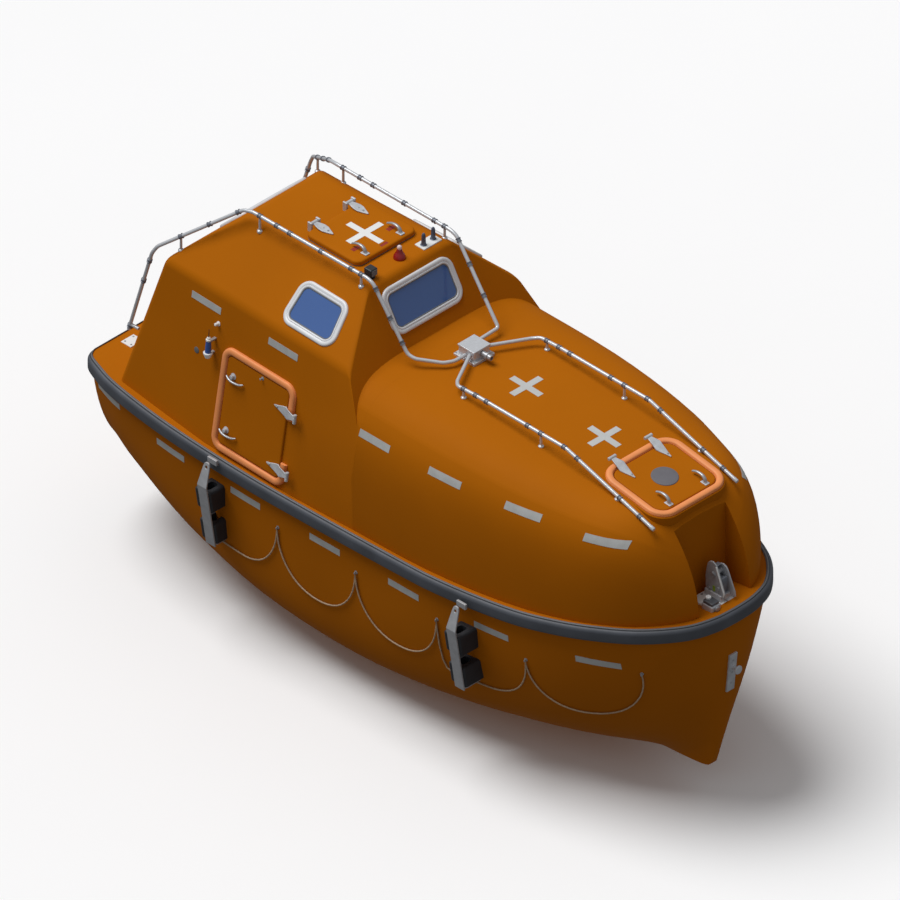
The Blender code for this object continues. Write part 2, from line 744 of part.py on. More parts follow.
def fore_hatch():
    x, half_x, half_y = FORE_HATCH
    level = 1.679
    tilt = FORE_HATCH_TILT
    frame = frame_on((x, 0, level), (math.cos(tilt), 0, -math.sin(tilt)), (0, 1, 0))
    origin, along, up, out = frame
    corners = rectangle(half_x, half_y)
    radius = 0.15
    base = stack("fore_hatch_coaming", frame, corners, radius, ((-0.01, -0.07), (-0.01, 0.0)))
    flat = stack("fore_hatch_flat", frame, corners, radius, ((-0.02, 0.0), (-0.02, 0.08)))
    stack(
        "fore_hatch_seal",
        frame,
        corners,
        radius,
        SEAL_SECTION,
        SEAL,
        ring=True,
    )
    edge = SEAL_WIDE + LEAF_GAP
    lid = stack(
        "fore_hatch",
        frame,
        corners,
        radius,
        ((edge + 0.028, -PLUG_DEEP), (edge + 0.028, GAP), (edge, GAP), (edge, LEAF_THICK)),
        ORANGE,
    )
    for y in FORE_ARM_Y:
        arm = []
        for u, n in ((0.16, LEAF_THICK * 0.5), (0.11, DOOR_SWING), (-FORE_HINGE_OUT, DOOR_SWING)):
            arm.append(tuple(origin + along * (u - half_x) + up * y + out * n))
        join(lid, tube("lid_arm", arm, ARM_R))
        pin_line = origin - along * (half_x + FORE_HINGE_OUT) + out * DOOR_SWING
        pin = [pin_line + up * (y + d) for d in (-0.03, 0.03)]
        join(lid, cone("lid_pin", *pin, PIN_R, PIN_R))
        grip = []
        for u, n in ((half_x - 0.11, LEAF_THICK * 0.5), (half_x - 0.11, 0.05), (half_x - 0.20, 0.05)):
            grip.append(tuple(origin + along * u + up * y + out * n))
        join(lid, tube("lid_handle", grip, HANDLE_R))
    disc = [origin + out * n for n in (0.005, LEAF_THICK + 0.008)]
    join(lid, cone("lid_disc", *disc, 0.10, 0.095, sides=24))
    hole = stack(
        "fore_opening", frame, corners, radius, ((edge + LIP, -0.15), (edge + LIP, 0.08))
    )
    return base, (flat, hole)


def hinge_lugs():
    """The fixed halves of the hinges, moulded on the canopy: a bracket beside each pin."""
    lugs = []
    roof = CABIN_MID[7]
    x = ROOF_HATCH[0] - ROOF_HATCH[1] - LID_HINGE_OUT
    for y in LID_ARM_Y:
        for d in (-0.040, 0.040):
            low = (x - 0.02, y + d - 0.008, roof - 0.02)
            lugs.append(box("roof_lug", low, (x + 0.02, y + d + 0.008, roof + 0.075)))
    return lugs


# The windows' outer outlines: the one in each chamfer, then the front and aft ones.
SIDE_WINDOW = ((-0.275, -0.180), (0.265, -0.180), (0.200, 0.180), (-0.275, 0.180))
END_WINDOW = rectangle(0.350, 0.178)


def build_canopy():
    openings = []
    for word, side in SIDES.items():
        openings.append(door_parts(word, side))
    for word, side in SIDES.items():
        openings.append(window(word, chamfer_frame(), SIDE_WINDOW, side))
    front = frame_on((front_x(2.045), 0, 2.045), (0, 1, 0), (-FRONT_SLOPE, 0, 1))
    openings.append(window("front", front, END_WINDOW))
    aft_rise = Vector((CABIN_AFT[5] - CABIN_AFT[2], 0, CABIN_AFT[7] - CABIN_AFT[4]))
    aft_middle = Vector((CABIN_AFT[2], 0, CABIN_AFT[4])) + aft_rise * 0.5
    aft = frame_on(aft_middle, (0, -1, 0), aft_rise)
    openings.append(window("aft", aft, END_WINDOW))
    openings.append(roof_hatch())
    coaming, fore_cuts = fore_hatch()
    openings.extend(fore_cuts)
    inner = canopy_body("canopy_inner", -WALL)
    block = box(
        "recess_block",
        (RECESS_X - WALL, -RECESS_HALF - WALL, 0.3),
        (3.0, RECESS_HALF + WALL, RECESS_TOP),
    )
    cut(inner, block)
    void = box("recess_void", (RECESS_X, -RECESS_HALF, 0.3), (3.1, RECESS_HALF, RECESS_TOP + 0.1))
    halves = (
        ("canopy_cabin", box("fore_half", (SPLIT_X, -2, 0), (4, 2, 4))),
        ("canopy_foredeck", box("aft_half", (-4, -2, 0), (SPLIT_X + GAP, 2, 4))),
    )
    for name, other_half in halves:
        shell = canopy_body(name, look=ORANGE)
        if name == "canopy_foredeck":
            join(shell, coaming)
        else:
            join(shell, *hinge_lugs())
        cut(shell, inner, other_half, *openings)
        if name == "canopy_foredeck":
            cut(shell, void)


def seat(piece, *bodies):
    """Trims a fitting's foot to the faces it stands on."""
    return cut(piece, *bodies)


def build_pipes(canopy):
    """The spray pipes: one run over the cabin's edge and one along the foredeck on each side."""
    for word, side in SIDES.items():
        roof_run = [
            (-2.46, -0.77, 1.07),
            (-2.21, -0.79, 1.86),
            (-2.17, -0.775, 1.93),
            (-1.66, -0.43, 2.325),
            (-1.58, -PIPE_Y, 2.34),
            (-0.44, -PIPE_Y, 2.34),
            (-0.38, -PIPE_Y, 2.32),
            (-0.04, -PIPE_Y, 1.885),
        ]
        if word == "starboard":
            roof_run += [(0.02, -0.40, 1.865), (0.17, -0.27, 1.84), (0.21, -0.20, 1.84), (0.21, -0.09, 1.84)]
        else:
            roof_run[-1] = (0.155, -0.295, 1.855)
            roof_run += [(0.15, -0.085, 1.84)]
        pipe = tube(f"roof_pipe_{word}", mirrored(roof_run, side), PIPE_R, PIPE)
        for x, y, z, low in ROOF_FEET:
            foot = mirrored([(x, y, z), (x, y, low)], side)
            join(pipe, cone("pipe_foot", *foot, 0.009, 0.016))
        heel = mirrored([(-2.455, -0.76, 1.12), (-2.30, -0.755, 1.12)], side)
        join(pipe, cone("pipe_foot", *heel, 0.010, 0.016))
        seat(pipe, canopy)
        deck_run = [
            (0.24, -0.06, 1.85),
            (0.41, -0.37, 1.852),
            (0.46, -PIPE_Y, 1.860),
            (0.66, -PIPE_Y, 1.868),
            (1.54, -PIPE_Y, 1.862),
            (2.41, -PIPE_Y, 1.597),
        ]
        rail = tube(f"foredeck_pipe_{word}", mirrored(deck_run, side), PIPE_R, PIPE)
        for x, z in DECK_FEET:
            foot = mirrored([(x, -PIPE_Y, z), (x, -PIPE_Y, z - 0.12)], side)
            join(rail, cone("pipe_foot", *foot, 0.009, 0.018))
        seat(rail, canopy)


MANIFOLD_LOW = Vector((0.125, -0.0835, 1.74))
MANIFOLD_HIGH = Vector((0.292, 0.0835, 1.892))


def build_manifold(canopy):
    low, high = MANIFOLD_LOW, MANIFOLD_HIGH
    body = box("manifold_box", low, high, PIPE)
    join(body, box("flange", low - Vector((0.02, 0.02, 0)), (high.x + 0.02, high.y + 0.02, 1.815)))
    join(body, cone("stub_pipe", (0.28, 0, 1.85), (0.385, 0, 1.85), 0.022, 0.022))
    seat(body, canopy)
    slack = Vector((GAP, GAP, GAP))
    room = box("manifold_room", low - slack, high + slack)
    for run in bpy.data.objects:
        if run.name.startswith(("roof_pipe_", "foredeck_pipe_")):
            cut(run, room)


def hook_outline():
    """The hook's side view, x and z from its foot."""
    return (
        (-0.075, 0.0), (0.080, 0.0), (0.090, 0.10), (0.075, 0.19), (0.035, 0.27), (-0.015, 0.285),
        (-0.060, 0.26), (-0.082, 0.20), (-0.085, 0.10),
    )


def build_hook(name, x, hull):
    """A release hook: base plate, cheeks with the eye, and the release block."""
    z = deck_z(x) + 0.012
    plate = box(name, (x - 0.11, -0.125, z - 0.05), (x + 0.11, 0.125, z), STEEL)
    rings = [[(x + u, y, z - 0.004 + v) for u, v in hook_outline()] for y in (-0.042, 0.042)]
    cheeks = from_rings(name + "_cheeks", rings)
    eye = cone(name + "_eye", (x - 0.005, -0.1, z + 0.215), (x - 0.005, 0.1, z + 0.215), 0.030, 0.030)
    release = box(name + "_release", (x - 0.01, -0.115, z - 0.01), (x + 0.10, -0.035, z + 0.085))
    join(plate, cheeks, release)
    cut(plate, eye)
    return seat(plate, hull)


def build_tow_plate(hull):
    plate = box("tow_plate", (2.60, -0.0375, 0.170), (2.812, 0.0375, 0.510), STEEL)
    join(plate, cone("tow_pin", (2.78, 0, 0.34), (2.845, 0, 0.34), 0.017, 0.017))
    join(plate, cone("tow_knob", (2.828, 0, 0.34), (2.850, 0, 0.34), 0.036, 0.036))
    return seat(plate, hull)


SKATES = {"aft": -1.295, "fore": 1.185}
SKATE_OUT = -1.20
# The strap leans inward below its shoulder: the two levels, and the lean over the whole of it.
STRAP_LOW = -0.035
STRAP_SHOULDER = 0.515
STRAP_LEAN = 0.090
# A block's reach aft and forward of its strap.
BLOCK_AFT = 0.100
BLOCK_FORE = 0.055
BLOCKS = {"upper": (0.27, 0.455), "lower": (-0.02, 0.165)}


def strap_y(z):
    """The strap's back at a height: it leans inward from the shoulder down."""
    return SKATE_OUT + STRAP_LEAN * (STRAP_SHOULDER - z) / (STRAP_SHOULDER - STRAP_LOW)


def build_skates(hull):
    """The guard skates on the launching side: a steel strap over two rubber blocks."""
    for place, x in SKATES.items():
        aft, fore = x - BLOCK_AFT, x + BLOCK_FORE
        for level, heights in BLOCKS.items():
            rings = []
            for z in heights:
                face = strap_y(z) + GAP
                rings.append([(aft, face, z), (fore, face, z), (fore, -0.80, z), (aft, -0.80, z)])
            seat(from_rings(f"skate_block_{place}_{level}", rings, RUBBER), hull)
        rings = []
        low, shoulder = (0.045, strap_y(STRAP_LOW), STRAP_LOW), (0.045, SKATE_OUT, STRAP_SHOULDER)
        for half, y, z in ((0.028, -1.145, 0.690), shoulder, low):
            back, face = y, y - 0.012
            rings.append([(x - half, back, z), (x + half, back, z), (x + half, face, z), (x - half, face, z)])
        strap = from_rings(f"skate_strap_{place}", rings, STEEL)
        cut(strap, cone("strap_eye", (x, -1.25, 0.655), (x, -1.05, 0.655), 0.013, 0.013))


ROPE_R = 0.007
# Where the eyes are, x and z.
ANCHORS = ((-1.48, 0.375), (-0.70, 0.375), (0.077, 0.375), (0.87, 0.360), (1.65, 0.350), (2.45, 0.450))
SWAG = 0.37
# A swag with a skate over it hangs below the skate's blocks, and rises again past them.
SWAG_BELOW = 0.45
SWAG_PAST = 0.34


def sag_at(t, skate):
    """How far the rope hangs, from 0 at one eye to 1 at the next. A skate's fore side is a place on it too."""
    if skate is None:
        return SWAG * (1 - abs(2 * t - 1) ** 4)
    rise = min(1.0, max(0.0, (t - skate) / 0.3))
    deep = SWAG_BELOW + (SWAG_PAST - SWAG_BELOW) * rise * rise * (3 - 2 * rise)
    return deep * (1 - abs(2 * t - 1) ** 20)


def rope_point(x, z):
    return (x, -hull_breadth(x, z) - ROPE_R - 0.006, z)


def build_lifelines(hull):
    """The grab lines: a rope in swags between eyes on the hull."""
    for word, side in SIDES.items():
        route = []
        steps = 12
        for (a, high), (b, next_high) in zip(ANCHORS, ANCHORS[1:]):
            over = [x for x in SKATES.values() if word == "starboard" and a < x < b]
            skate = (over[0] + BLOCK_FORE + 0.02 - a) / (b - a) if over else None
            for k in range(steps + (b == ANCHORS[-1][0])):
                t = 0.5 - 0.5 * math.cos(math.pi * k / steps)
                sag = sag_at(t, skate)
                route.append(rope_point(a + t * (b - a), high + t * (next_high - high) - sag))
        rope = tube(f"lifeline_{word}", mirrored(route, side), ROPE_R, ROPE)
        for place in ANCHORS:
            p = rope_point(*place)
            peg = mirrored([(p[0], p[1] - 0.010, p[2]), (p[0], p[1] + 0.06, p[2])], side)
            join(rope, cone("rope_eye", *peg, 0.014, 0.014, sides=12))
        seat(rope, hull)


def build_roof_fittings(canopy):
    roof = CABIN_MID[7]
    beacon = cone("beacon", (-0.535, 0, roof - 0.02), (-0.535, 0, roof + 0.055), 0.045, 0.042, RED)
    join(beacon, cone("beacon_dome", (-0.535, 0, roof + 0.05), (-0.535, 0, roof + 0.11), 0.040, 0.020))
    plate = box("post_plate", (-0.57, 0.185, roof - 0.01), (-0.475, 0.365, roof + 0.008), STEEL)
    for x, y in ((-0.52, 0.225), (-0.525, 0.325)):
        join(plate, cone("post", (x, y, roof), (x, y, roof + 0.11), 0.016, 0.014))
    lamp = cone("deck_lamp", (-0.51, -0.31, roof - 0.01), (-0.51, -0.31, roof + 0.085), 0.045, 0.040, BLACK)
    canister = cone("rescue_canister", (-1.52, -0.925, 1.370), (-1.52, -0.915, 1.540), 0.024, 0.020, BLUE)
    join(canister, box("canister_bracket", (-1.535, -0.91, 1.385), (-1.505, -0.83, 1.400)))
    join(canister, cone("canister_whip", (-1.52, -0.915, 1.53), (-1.515, -0.91, 1.61), 0.004, 0.003, sides=8))
    for fitting in (beacon, plate, lamp, canister):
        seat(fitting, canopy)


def build_inside():
    for word, side in SIDES.items():
        low, high = sorted((side * 0.28, side * 0.50))
        box(f"bench_{word}", (-1.28, low, SOLE_Z + GAP), (0.78, high, SOLE_Z + 0.42), LINER)
    box("engine_block", (-1.55, -0.26, SOLE_Z + GAP), (-0.75, 0.26, SOLE_Z + 0.50), ENGINE)
    box("helm_console", (-0.50, -0.26, SOLE_Z + GAP), (-0.30, 0.26, SOLE_Z + 1.35), LINER)


# The blade's radii, with its chord and its pitch in degrees there.
BLADE = ((0.015, 0.05, 60), (0.06, 0.085, 42), (0.105, 0.095, 30), (0.134, 0.05, 24))


def build_propeller():
    """Three raked blades on a hub, with the shaft ahead of it."""
    hub = cone("propeller", (PROP_X + 0.045, 0, SHAFT_Z), (PROP_X - 0.055, 0, SHAFT_Z), 0.032, 0.018, BRONZE)
    join(hub, cone("shaft", (-2.14 - GAP, 0, SHAFT_Z), (PROP_X + 0.02, 0, SHAFT_Z), 0.017, 0.017))
    for k in range(3):
        rings = []
        for r, chord, pitch in BLADE:
            a = math.radians(pitch)
            ring = []
            for s, t in ((-1, -1), (1, -1), (1, 1), (-1, 1)):
                u = s * chord / 2 * math.cos(a) - t * 0.004 * math.sin(a)
                x = s * chord / 2 * math.sin(a) + t * 0.004 * math.cos(a)
                turn = 2 * math.pi * k / 3
                y = u * math.cos(turn) - r * math.sin(turn)
                z = u * math.sin(turn) + r * math.cos(turn)
                ring.append((PROP_X - 0.005 + x * 0.8, y, SHAFT_Z + z))
            rings.append(ring)
        join(hub, from_rings("blade", rings))
    return hub


NOZZLE_R = 0.163
NOZZLE_BORE = 0.145
NOZZLE_HALF = 0.075
STOCK_R = 0.022


def build_nozzle():
    """The steering nozzle round the propeller, hung from its stock."""
    rings = []
    for k in range(28):
        a = 2 * math.pi * k / 28
        ring = []
        for x, r in (
            (NOZZLE_HALF, NOZZLE_BORE + 0.004), (NOZZLE_HALF, NOZZLE_R - 0.003),
            (0.0, NOZZLE_R), (-NOZZLE_HALF, NOZZLE_BORE + 0.008), (-NOZZLE_HALF, NOZZLE_BORE + 0.002),
            (0.0, NOZZLE_BORE),
        ):
            ring.append((PROP_X + x, r * math.sin(a), SHAFT_Z + r * math.cos(a)))
        rings.append(ring)
    nozzle = from_rings("steering_nozzle", rings, STEEL, closed_path=True)
    foot = (PROP_X, 0, SHAFT_Z + NOZZLE_R - 0.008)
    return join(nozzle, cone("stock", foot, (PROP_X, 0, GLAND_Z - GAP), STOCK_R, STOCK_R))


def build():
    hull_room = hull_body("hull_room", grow=GAP)
    canopy_room = canopy_body("canopy_room", grow=GAP)
    build_hull()
    build_keel()
    build_fender()
    build_canopy()
    build_pipes(canopy_room)
    build_manifold(canopy_room)
    build_hook("hook_fore", 2.60, hull_room)
    build_hook("hook_aft", -2.62, hull_room)
    build_tow_plate(hull_room)
    build_skates(hull_room)
    build_lifelines(hull_room)
    build_roof_fittings(canopy_room)
    build_inside()
    build_propeller()
    build_nozzle()


build()
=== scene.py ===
import math

import bmesh
import bpy
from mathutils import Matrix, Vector
from mathutils.bvhtree import BVHTree


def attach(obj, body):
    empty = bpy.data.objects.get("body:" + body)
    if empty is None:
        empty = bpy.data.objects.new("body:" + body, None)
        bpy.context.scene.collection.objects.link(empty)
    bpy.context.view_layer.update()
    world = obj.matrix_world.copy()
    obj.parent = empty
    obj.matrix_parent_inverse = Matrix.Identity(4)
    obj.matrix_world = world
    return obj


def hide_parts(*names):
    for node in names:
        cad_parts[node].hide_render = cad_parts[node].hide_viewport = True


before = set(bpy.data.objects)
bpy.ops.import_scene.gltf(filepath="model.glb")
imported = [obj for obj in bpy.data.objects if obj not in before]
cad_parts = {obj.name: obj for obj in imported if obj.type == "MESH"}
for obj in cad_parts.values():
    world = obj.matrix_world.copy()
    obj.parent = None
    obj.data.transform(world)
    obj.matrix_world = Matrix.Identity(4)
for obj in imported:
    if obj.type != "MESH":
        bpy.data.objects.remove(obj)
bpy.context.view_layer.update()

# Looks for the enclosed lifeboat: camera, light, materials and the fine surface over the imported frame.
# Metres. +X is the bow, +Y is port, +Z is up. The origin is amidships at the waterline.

TAU = 2 * math.pi
UP = (0, 0, 1)
AHEAD = (1, 0, 0)
ASTERN = (-1, 0, 0)
TO_PORT = (0, 1, 0)
SIDES = {"starboard": -1, "port": 1}

# The camera: isometric, over the starboard bow.
VIEW_FROM = Vector((1, -1, 1)).normalized()
VIEW_AT = Vector((0.0143, -0.0462, 0.90))
VIEW_SPAN = 6.338
VIEW_FAR = 30
VIEW_CLIP = 200

FLOOR_Z = -0.7505
FLOOR_HALF = 40
FLOOR_THICK = 0.05


def link(thing):
    bpy.context.scene.collection.objects.link(thing)
    return thing


def make_camera():
    data = bpy.data.cameras.new("camera")
    data.type = "ORTHO"
    data.ortho_scale = VIEW_SPAN
    data.clip_end = VIEW_CLIP
    eye = bpy.data.objects.new("camera", data)
    eye.location = VIEW_AT + VIEW_FROM * VIEW_FAR
    eye.rotation_mode = "QUATERNION"
    eye.rotation_quaternion = (-VIEW_FROM).to_track_quat("-Z", "Y")
    link(eye)
    bpy.context.scene.camera = eye


make_camera()


def mm(*rows):
    """Rows of millimetres, in metres."""
    return tuple(tuple(n / 1000 for n in row) for row in rows)


# Materials

def wire(tree, source, target):
    tree.links.new(source, target)


def ramp_between(tree, factor, low, high, start=0.3, end=0.7):
    """A colour that runs from low to high as a factor goes from start to end."""
    ramp = tree.nodes.new("ShaderNodeValToRGB")
    for stop, at, colour in zip(ramp.color_ramp.elements, (start, end), (low, high)):
        stop.position = at
        stop.color = (*colour, 1)
    wire(tree, factor, ramp.inputs["Fac"])
    return ramp.outputs["Color"]


def noise(tree, scale, detail, stretch=(1, 1, 1)):
    """Noise in the object's own metres."""
    spot = tree.nodes.new("ShaderNodeTexCoord")
    move = tree.nodes.new("ShaderNodeMapping")
    move.inputs["Scale"].default_value = stretch
    made = tree.nodes.new("ShaderNodeTexNoise")
    made.inputs["Scale"].default_value = scale
    made.inputs["Detail"].default_value = detail
    wire(tree, spot.outputs["Object"], move.inputs["Vector"])
    wire(tree, move.outputs["Vector"], made.inputs["Vector"])
    return made.outputs["Fac"]


COAT_ROUGH = 0.12
GRAIN_DEPTH = 0.002


def paint(
    name, colour, rough, spread, patch, grain, bump,
    metal=0.0, stretch=(1, 1, 1), rough_spread=0.06, coat=0.0, clear=0.0, shine=0.5,
):
    """A Principled material whose colour and roughness drift in patches, with a fine grain in its surface.

    spread is the colour's share of drift, patch and grain are the noises' scales, bump is the grain's depth.
    """
    made = bpy.data.materials.new(name)
    made.use_nodes = True
    tree = made.node_tree
    shader = tree.nodes["Principled BSDF"]
    shader.inputs["Metallic"].default_value = metal
    shader.inputs["Specular IOR Level"].default_value = shine
    shader.inputs["Coat Weight"].default_value = coat
    shader.inputs["Coat Roughness"].default_value = COAT_ROUGH
    shader.inputs["Transmission Weight"].default_value = clear
    drift = noise(tree, patch, 5.0, stretch)
    low = [c * (1 - spread) for c in colour]
    high = [min(c * (1 + spread), 1.0) for c in colour]
    wire(tree, ramp_between(tree, drift, low, high), shader.inputs["Base Color"])
    reach = tree.nodes.new("ShaderNodeMapRange")
    reach.inputs["To Min"].default_value = max(rough - rough_spread, 0.02)
    reach.inputs["To Max"].default_value = rough + rough_spread
    wire(tree, noise(tree, patch * 7, 4.0), reach.inputs["Value"])
    wire(tree, reach.outputs["Result"], shader.inputs["Roughness"])
    relief = tree.nodes.new("ShaderNodeBump")
    relief.inputs["Strength"].default_value = bump
    relief.inputs["Distance"].default_value = GRAIN_DEPTH
    wire(tree, noise(tree, grain, 2.0, stretch), relief.inputs["Height"])
    wire(tree, relief.outputs["Normal"], shader.inputs["Normal"])
    made.diffuse_color = (*colour, 1)
    return made


GELCOAT = paint("gelcoat_orange", (0.440, 0.126, 0.0026), 0.60, 0.05, 0.9, 260, 0.035, shine=0.03)
FENDER_DARK = paint("fender_rubber", (0.068, 0.076, 0.092), 0.55, 0.15, 5, 300, 0.12)
# This paler grey on the fender's top bead is a painted highlight on the same rubber. The small wall spot uses
# the same grey.
FENDER_HIGHLIGHT_GREY = paint("fender_bead_painted_highlight", (0.125, 0.13, 0.14), 0.45, 0.08, 6, 260, 0.08)
SKATE_RUBBER = paint("skate_rubber", (0.018, 0.020, 0.025), 0.6, 0.2, 9, 220, 0.2)
SEAL_SALMON = paint("seal_salmon", (0.86, 0.30, 0.095), 0.55, 0.06, 7, 320, 0.1)
FRAME_GREY = paint("window_frame_grey", (0.70, 0.71, 0.73), 0.40, 0.05, 8, 400, 0.04, metal=0.05)
GASKET = paint("window_gasket", (0.15, 0.155, 0.165), 0.6, 0.06, 1.6, 300, 0.1)
GLASS_BLUE = paint(
    "tinted_glass", (0.066, 0.148, 0.40), 0.10, 0.05, 1.2, 3, 0.01, rough_spread=0.03, coat=0.6, clear=0.12
)
STEEL = paint(
    "brushed_steel", (0.43, 0.44, 0.46), 0.38, 0.10, 14, 240, 0.12,
    metal=0.55, stretch=(1, 1, 6), rough_spread=0.1,
)
CAST_GREY = paint("cast_grey", (0.55, 0.57, 0.60), 0.45, 0.14, 18, 190, 0.22, metal=0.25)
COUPLING_GREY = paint("coupling_grey", (0.20, 0.215, 0.25), 0.42, 0.12, 16, 200, 0.12, metal=0.35)
DARK_STEEL = paint("dark_steel", (0.14, 0.15, 0.165), 0.42, 0.15, 16, 200, 0.2, metal=0.5)
PIPE_LIGHT = paint("polished_pipe", (0.62, 0.64, 0.67), 0.3, 0.05, 12, 300, 0.04, metal=0.3, stretch=(8, 8, 8))
WHITE = paint("white_paint", (0.80, 0.81, 0.80), 0.45, 0.04, 9, 260, 0.05)
BLACK = paint("black_plastic", (0.022, 0.023, 0.026), 0.45, 0.2, 10, 260, 0.15)
LENS_RED = paint("red_lens", (0.30, 0.008, 0.010), 0.22, 0.08, 12, 90, 0.05, coat=0.5)
MARK_RED = paint("red_mark", (0.30, 0.024, 0.008), 0.5, 0.06, 20, 260, 0.06)
CANISTER_BLUE = paint("canister_blue", (0.035, 0.10, 0.36), 0.35, 0.08, 14, 200, 0.05)
TAPE = paint("reflective_tape", (0.50, 0.51, 0.50), 0.34, 0.08, 14, 420, 0.25, metal=0.15)
CROSS_GREY = paint("cross_grey", (0.52, 0.53, 0.52), 0.5, 0.05, 12, 300, 0.06)
STRAP_GREY = paint("galvanised_strap", (0.42, 0.43, 0.45), 0.5, 0.10, 20, 240, 0.12, metal=0.25)
POST_GREY = paint("post_grey", (0.085, 0.10, 0.15), 0.45, 0.1, 12, 200, 0.1, metal=0.2)
LENS_PALE = paint("pale_lens", (0.80, 0.62, 0.62), 0.2, 0.05, 12, 60, 0.03, coat=0.4)
MARK_GREEN = paint("green_mark", (0.25, 0.38, 0.02), 0.5, 0.08, 20, 240, 0.06)
SEAT_ORANGE = paint("seat_pad", (0.55, 0.16, 0.02), 0.75, 0.12, 14, 420, 0.4)
DISC_GREY = paint("grey_disc", (0.135, 0.130, 0.145), 0.5, 0.08, 9, 240, 0.1)
ROPE = paint("lifeline_rope", (0.48, 0.34, 0.22), 0.85, 0.18, 60, 520, 0.7)
LINER = paint("white_liner", (0.62, 0.62, 0.60), 0.5, 0.05, 3, 160, 0.08)
ENGINE = paint("engine_enamel", (0.16, 0.20, 0.235), 0.45, 0.12, 8, 200, 0.15)
BRONZE = paint("cast_bronze", (0.50, 0.34, 0.13), 0.34, 0.14, 16, 180, 0.16, metal=0.9)
FLOOR = paint("pale_floor", (0.97, 0.97, 0.97), 0.9, 0.004, 0.5, 20, 0.0)


# Mesh helpers

BEND_STEPS = 6
CURVE_STEPS = 5
ROUND_STEPS = 10
LEAST_RADIUS = 0.004


def shade(mesh, sharp):
    mesh.shade_smooth()
    mesh.set_sharp_from_angle(angle=math.radians(sharp))


def new_object(name, mesh, look, sharp=35):
    mesh.materials.clear()
    mesh.materials.append(look)
    shade(mesh, sharp)
    return link(bpy.data.objects.new(name, mesh))


def tidy_mesh(mesh):
    work = bmesh.new()
    work.from_mesh(mesh)
    bmesh.ops.remove_doubles(work, verts=work.verts, dist=1e-6)
    bmesh.ops.recalc_face_normals(work, faces=work.faces)
    work.to_mesh(mesh)
    work.free()


def from_rings(name, rings, look=GELCOAT, closed_path=False, caps=None, sharp=35):
    """A closed body lofted over rings of points, each ring going round."""
    places, index = [], {}

    def number(point):
        key = tuple(round(c, 6) for c in point)
        if key not in index:
            index[key] = len(places)
            places.append(key)
        return index[key]

    table = [[number(p) for p in ring] for ring in rings]
    faces = []

    def face(corners):
        kept = [c for i, c in enumerate(corners) if c != corners[i - 1]]
        if len(set(kept)) == len(kept) >= 3:
            faces.append(kept)

    count = len(table[0])
    pairs = list(zip(table, table[1:]))
    if closed_path:
        pairs.append((table[-1], table[0]))
    for here, there in pairs:
        for i in range(count):
            j = (i + 1) % count
            face([here[i], here[j], there[j], there[i]])
    if not closed_path:
        for ring, turn in ((table[0], -1), (table[-1], 1)):
            for corners in caps(count) if caps else [list(range(count))]:
                face([ring[c] for c in corners][::turn])
    mesh = bpy.data.meshes.new(name)
    mesh.from_pydata(places, [], faces)
    tidy_mesh(mesh)
    return new_object(name, mesh, look, sharp)


def drop_normals(mesh):
    """Leaves the shading to the sharp edges alone."""
    fixed = mesh.attributes.get("custom_normal")
    if fixed:
        mesh.attributes.remove(fixed)


def even_normals(piece):
    piece.modifiers.new("even_normals", "WEIGHTED_NORMAL").keep_sharp = True
    return piece


def baked(piece, sharp=35):
    """The piece with its modifiers made real."""
    graph = bpy.context.evaluated_depsgraph_get()
    mesh = bpy.data.meshes.new_from_object(piece.evaluated_get(graph))
    piece.modifiers.clear()
    drop_normals(mesh)
    old = piece.data
    piece.data = mesh
    bpy.data.meshes.remove(old)
    shade(mesh, sharp)
    return even_normals(piece)


def carve(piece, tools, how="DIFFERENCE", sharp=35):
    """Cuts the tools out of the piece, or joins them to it, and removes them."""
    piece.modifiers.clear()
    drop_normals(piece.data)
    for tool in tools:
        for step in [m for m in tool.modifiers if m.type == "WEIGHTED_NORMAL"]:
            tool.modifiers.remove(step)
        step = piece.modifiers.new("carve", "BOOLEAN")
        step.operation = how
        step.solver = "EXACT"
        step.object = tool
    baked(piece, sharp)
    for tool in tools:
        bpy.data.objects.remove(tool, do_unlink=True)
    return piece


def twin(piece, name):
    copy = piece.copy()
    copy.data = piece.data.copy()
    copy.name = name
    return link(copy)


def box(name, low, high, look=GELCOAT):
    mesh = bpy.data.meshes.new(name)
    work = bmesh.new()
    bmesh.ops.create_cube(work, size=1)
    for v in work.verts:
        for axis in range(3):
            v.co[axis] = (low[axis] + high[axis]) / 2 + v.co[axis] * (high[axis] - low[axis])
    work.to_mesh(mesh)
    work.free()
    return new_object(name, mesh, look)


def soften(piece, width, segments=3):
    """Rounds the piece's edges."""
    edge = piece.modifiers.new("rounded", "BEVEL")
    edge.width = width
    edge.segments = segments
    edge.limit_method = "ANGLE"
    edge.angle_limit = math.radians(35)
    edge.harden_normals = False
    shade(piece.data, 50)
    return even_normals(piece)


def rounded_box(name, low, high, look, width=0.004):
    return soften(box(name, low, high, look), width)


def merged(name, pieces):
    """One piece from several, with each one's material kept."""
    work = bmesh.new()
    looks = []
    graph = bpy.context.evaluated_depsgraph_get()
    for piece in pieces:
        done = bpy.data.meshes.new_from_object(piece.evaluated_get(graph))
        done.transform(piece.matrix_world)
        slots = []
        for m in done.materials:
            if m not in looks:
                looks.append(m)
            slots.append(looks.index(m))
        start = len(work.faces)
        work.from_mesh(done)
        work.faces.ensure_lookup_table()
        for f in work.faces[start:]:
            f.material_index = slots[f.material_index] if slots else 0
        bpy.data.meshes.remove(done)
        bpy.data.objects.remove(piece, do_unlink=True)
    mesh = bpy.data.meshes.new(name)
    work.to_mesh(mesh)
    work.free()
    for m in looks:
        mesh.materials.append(m)
    return link(bpy.data.objects.new(name, mesh))


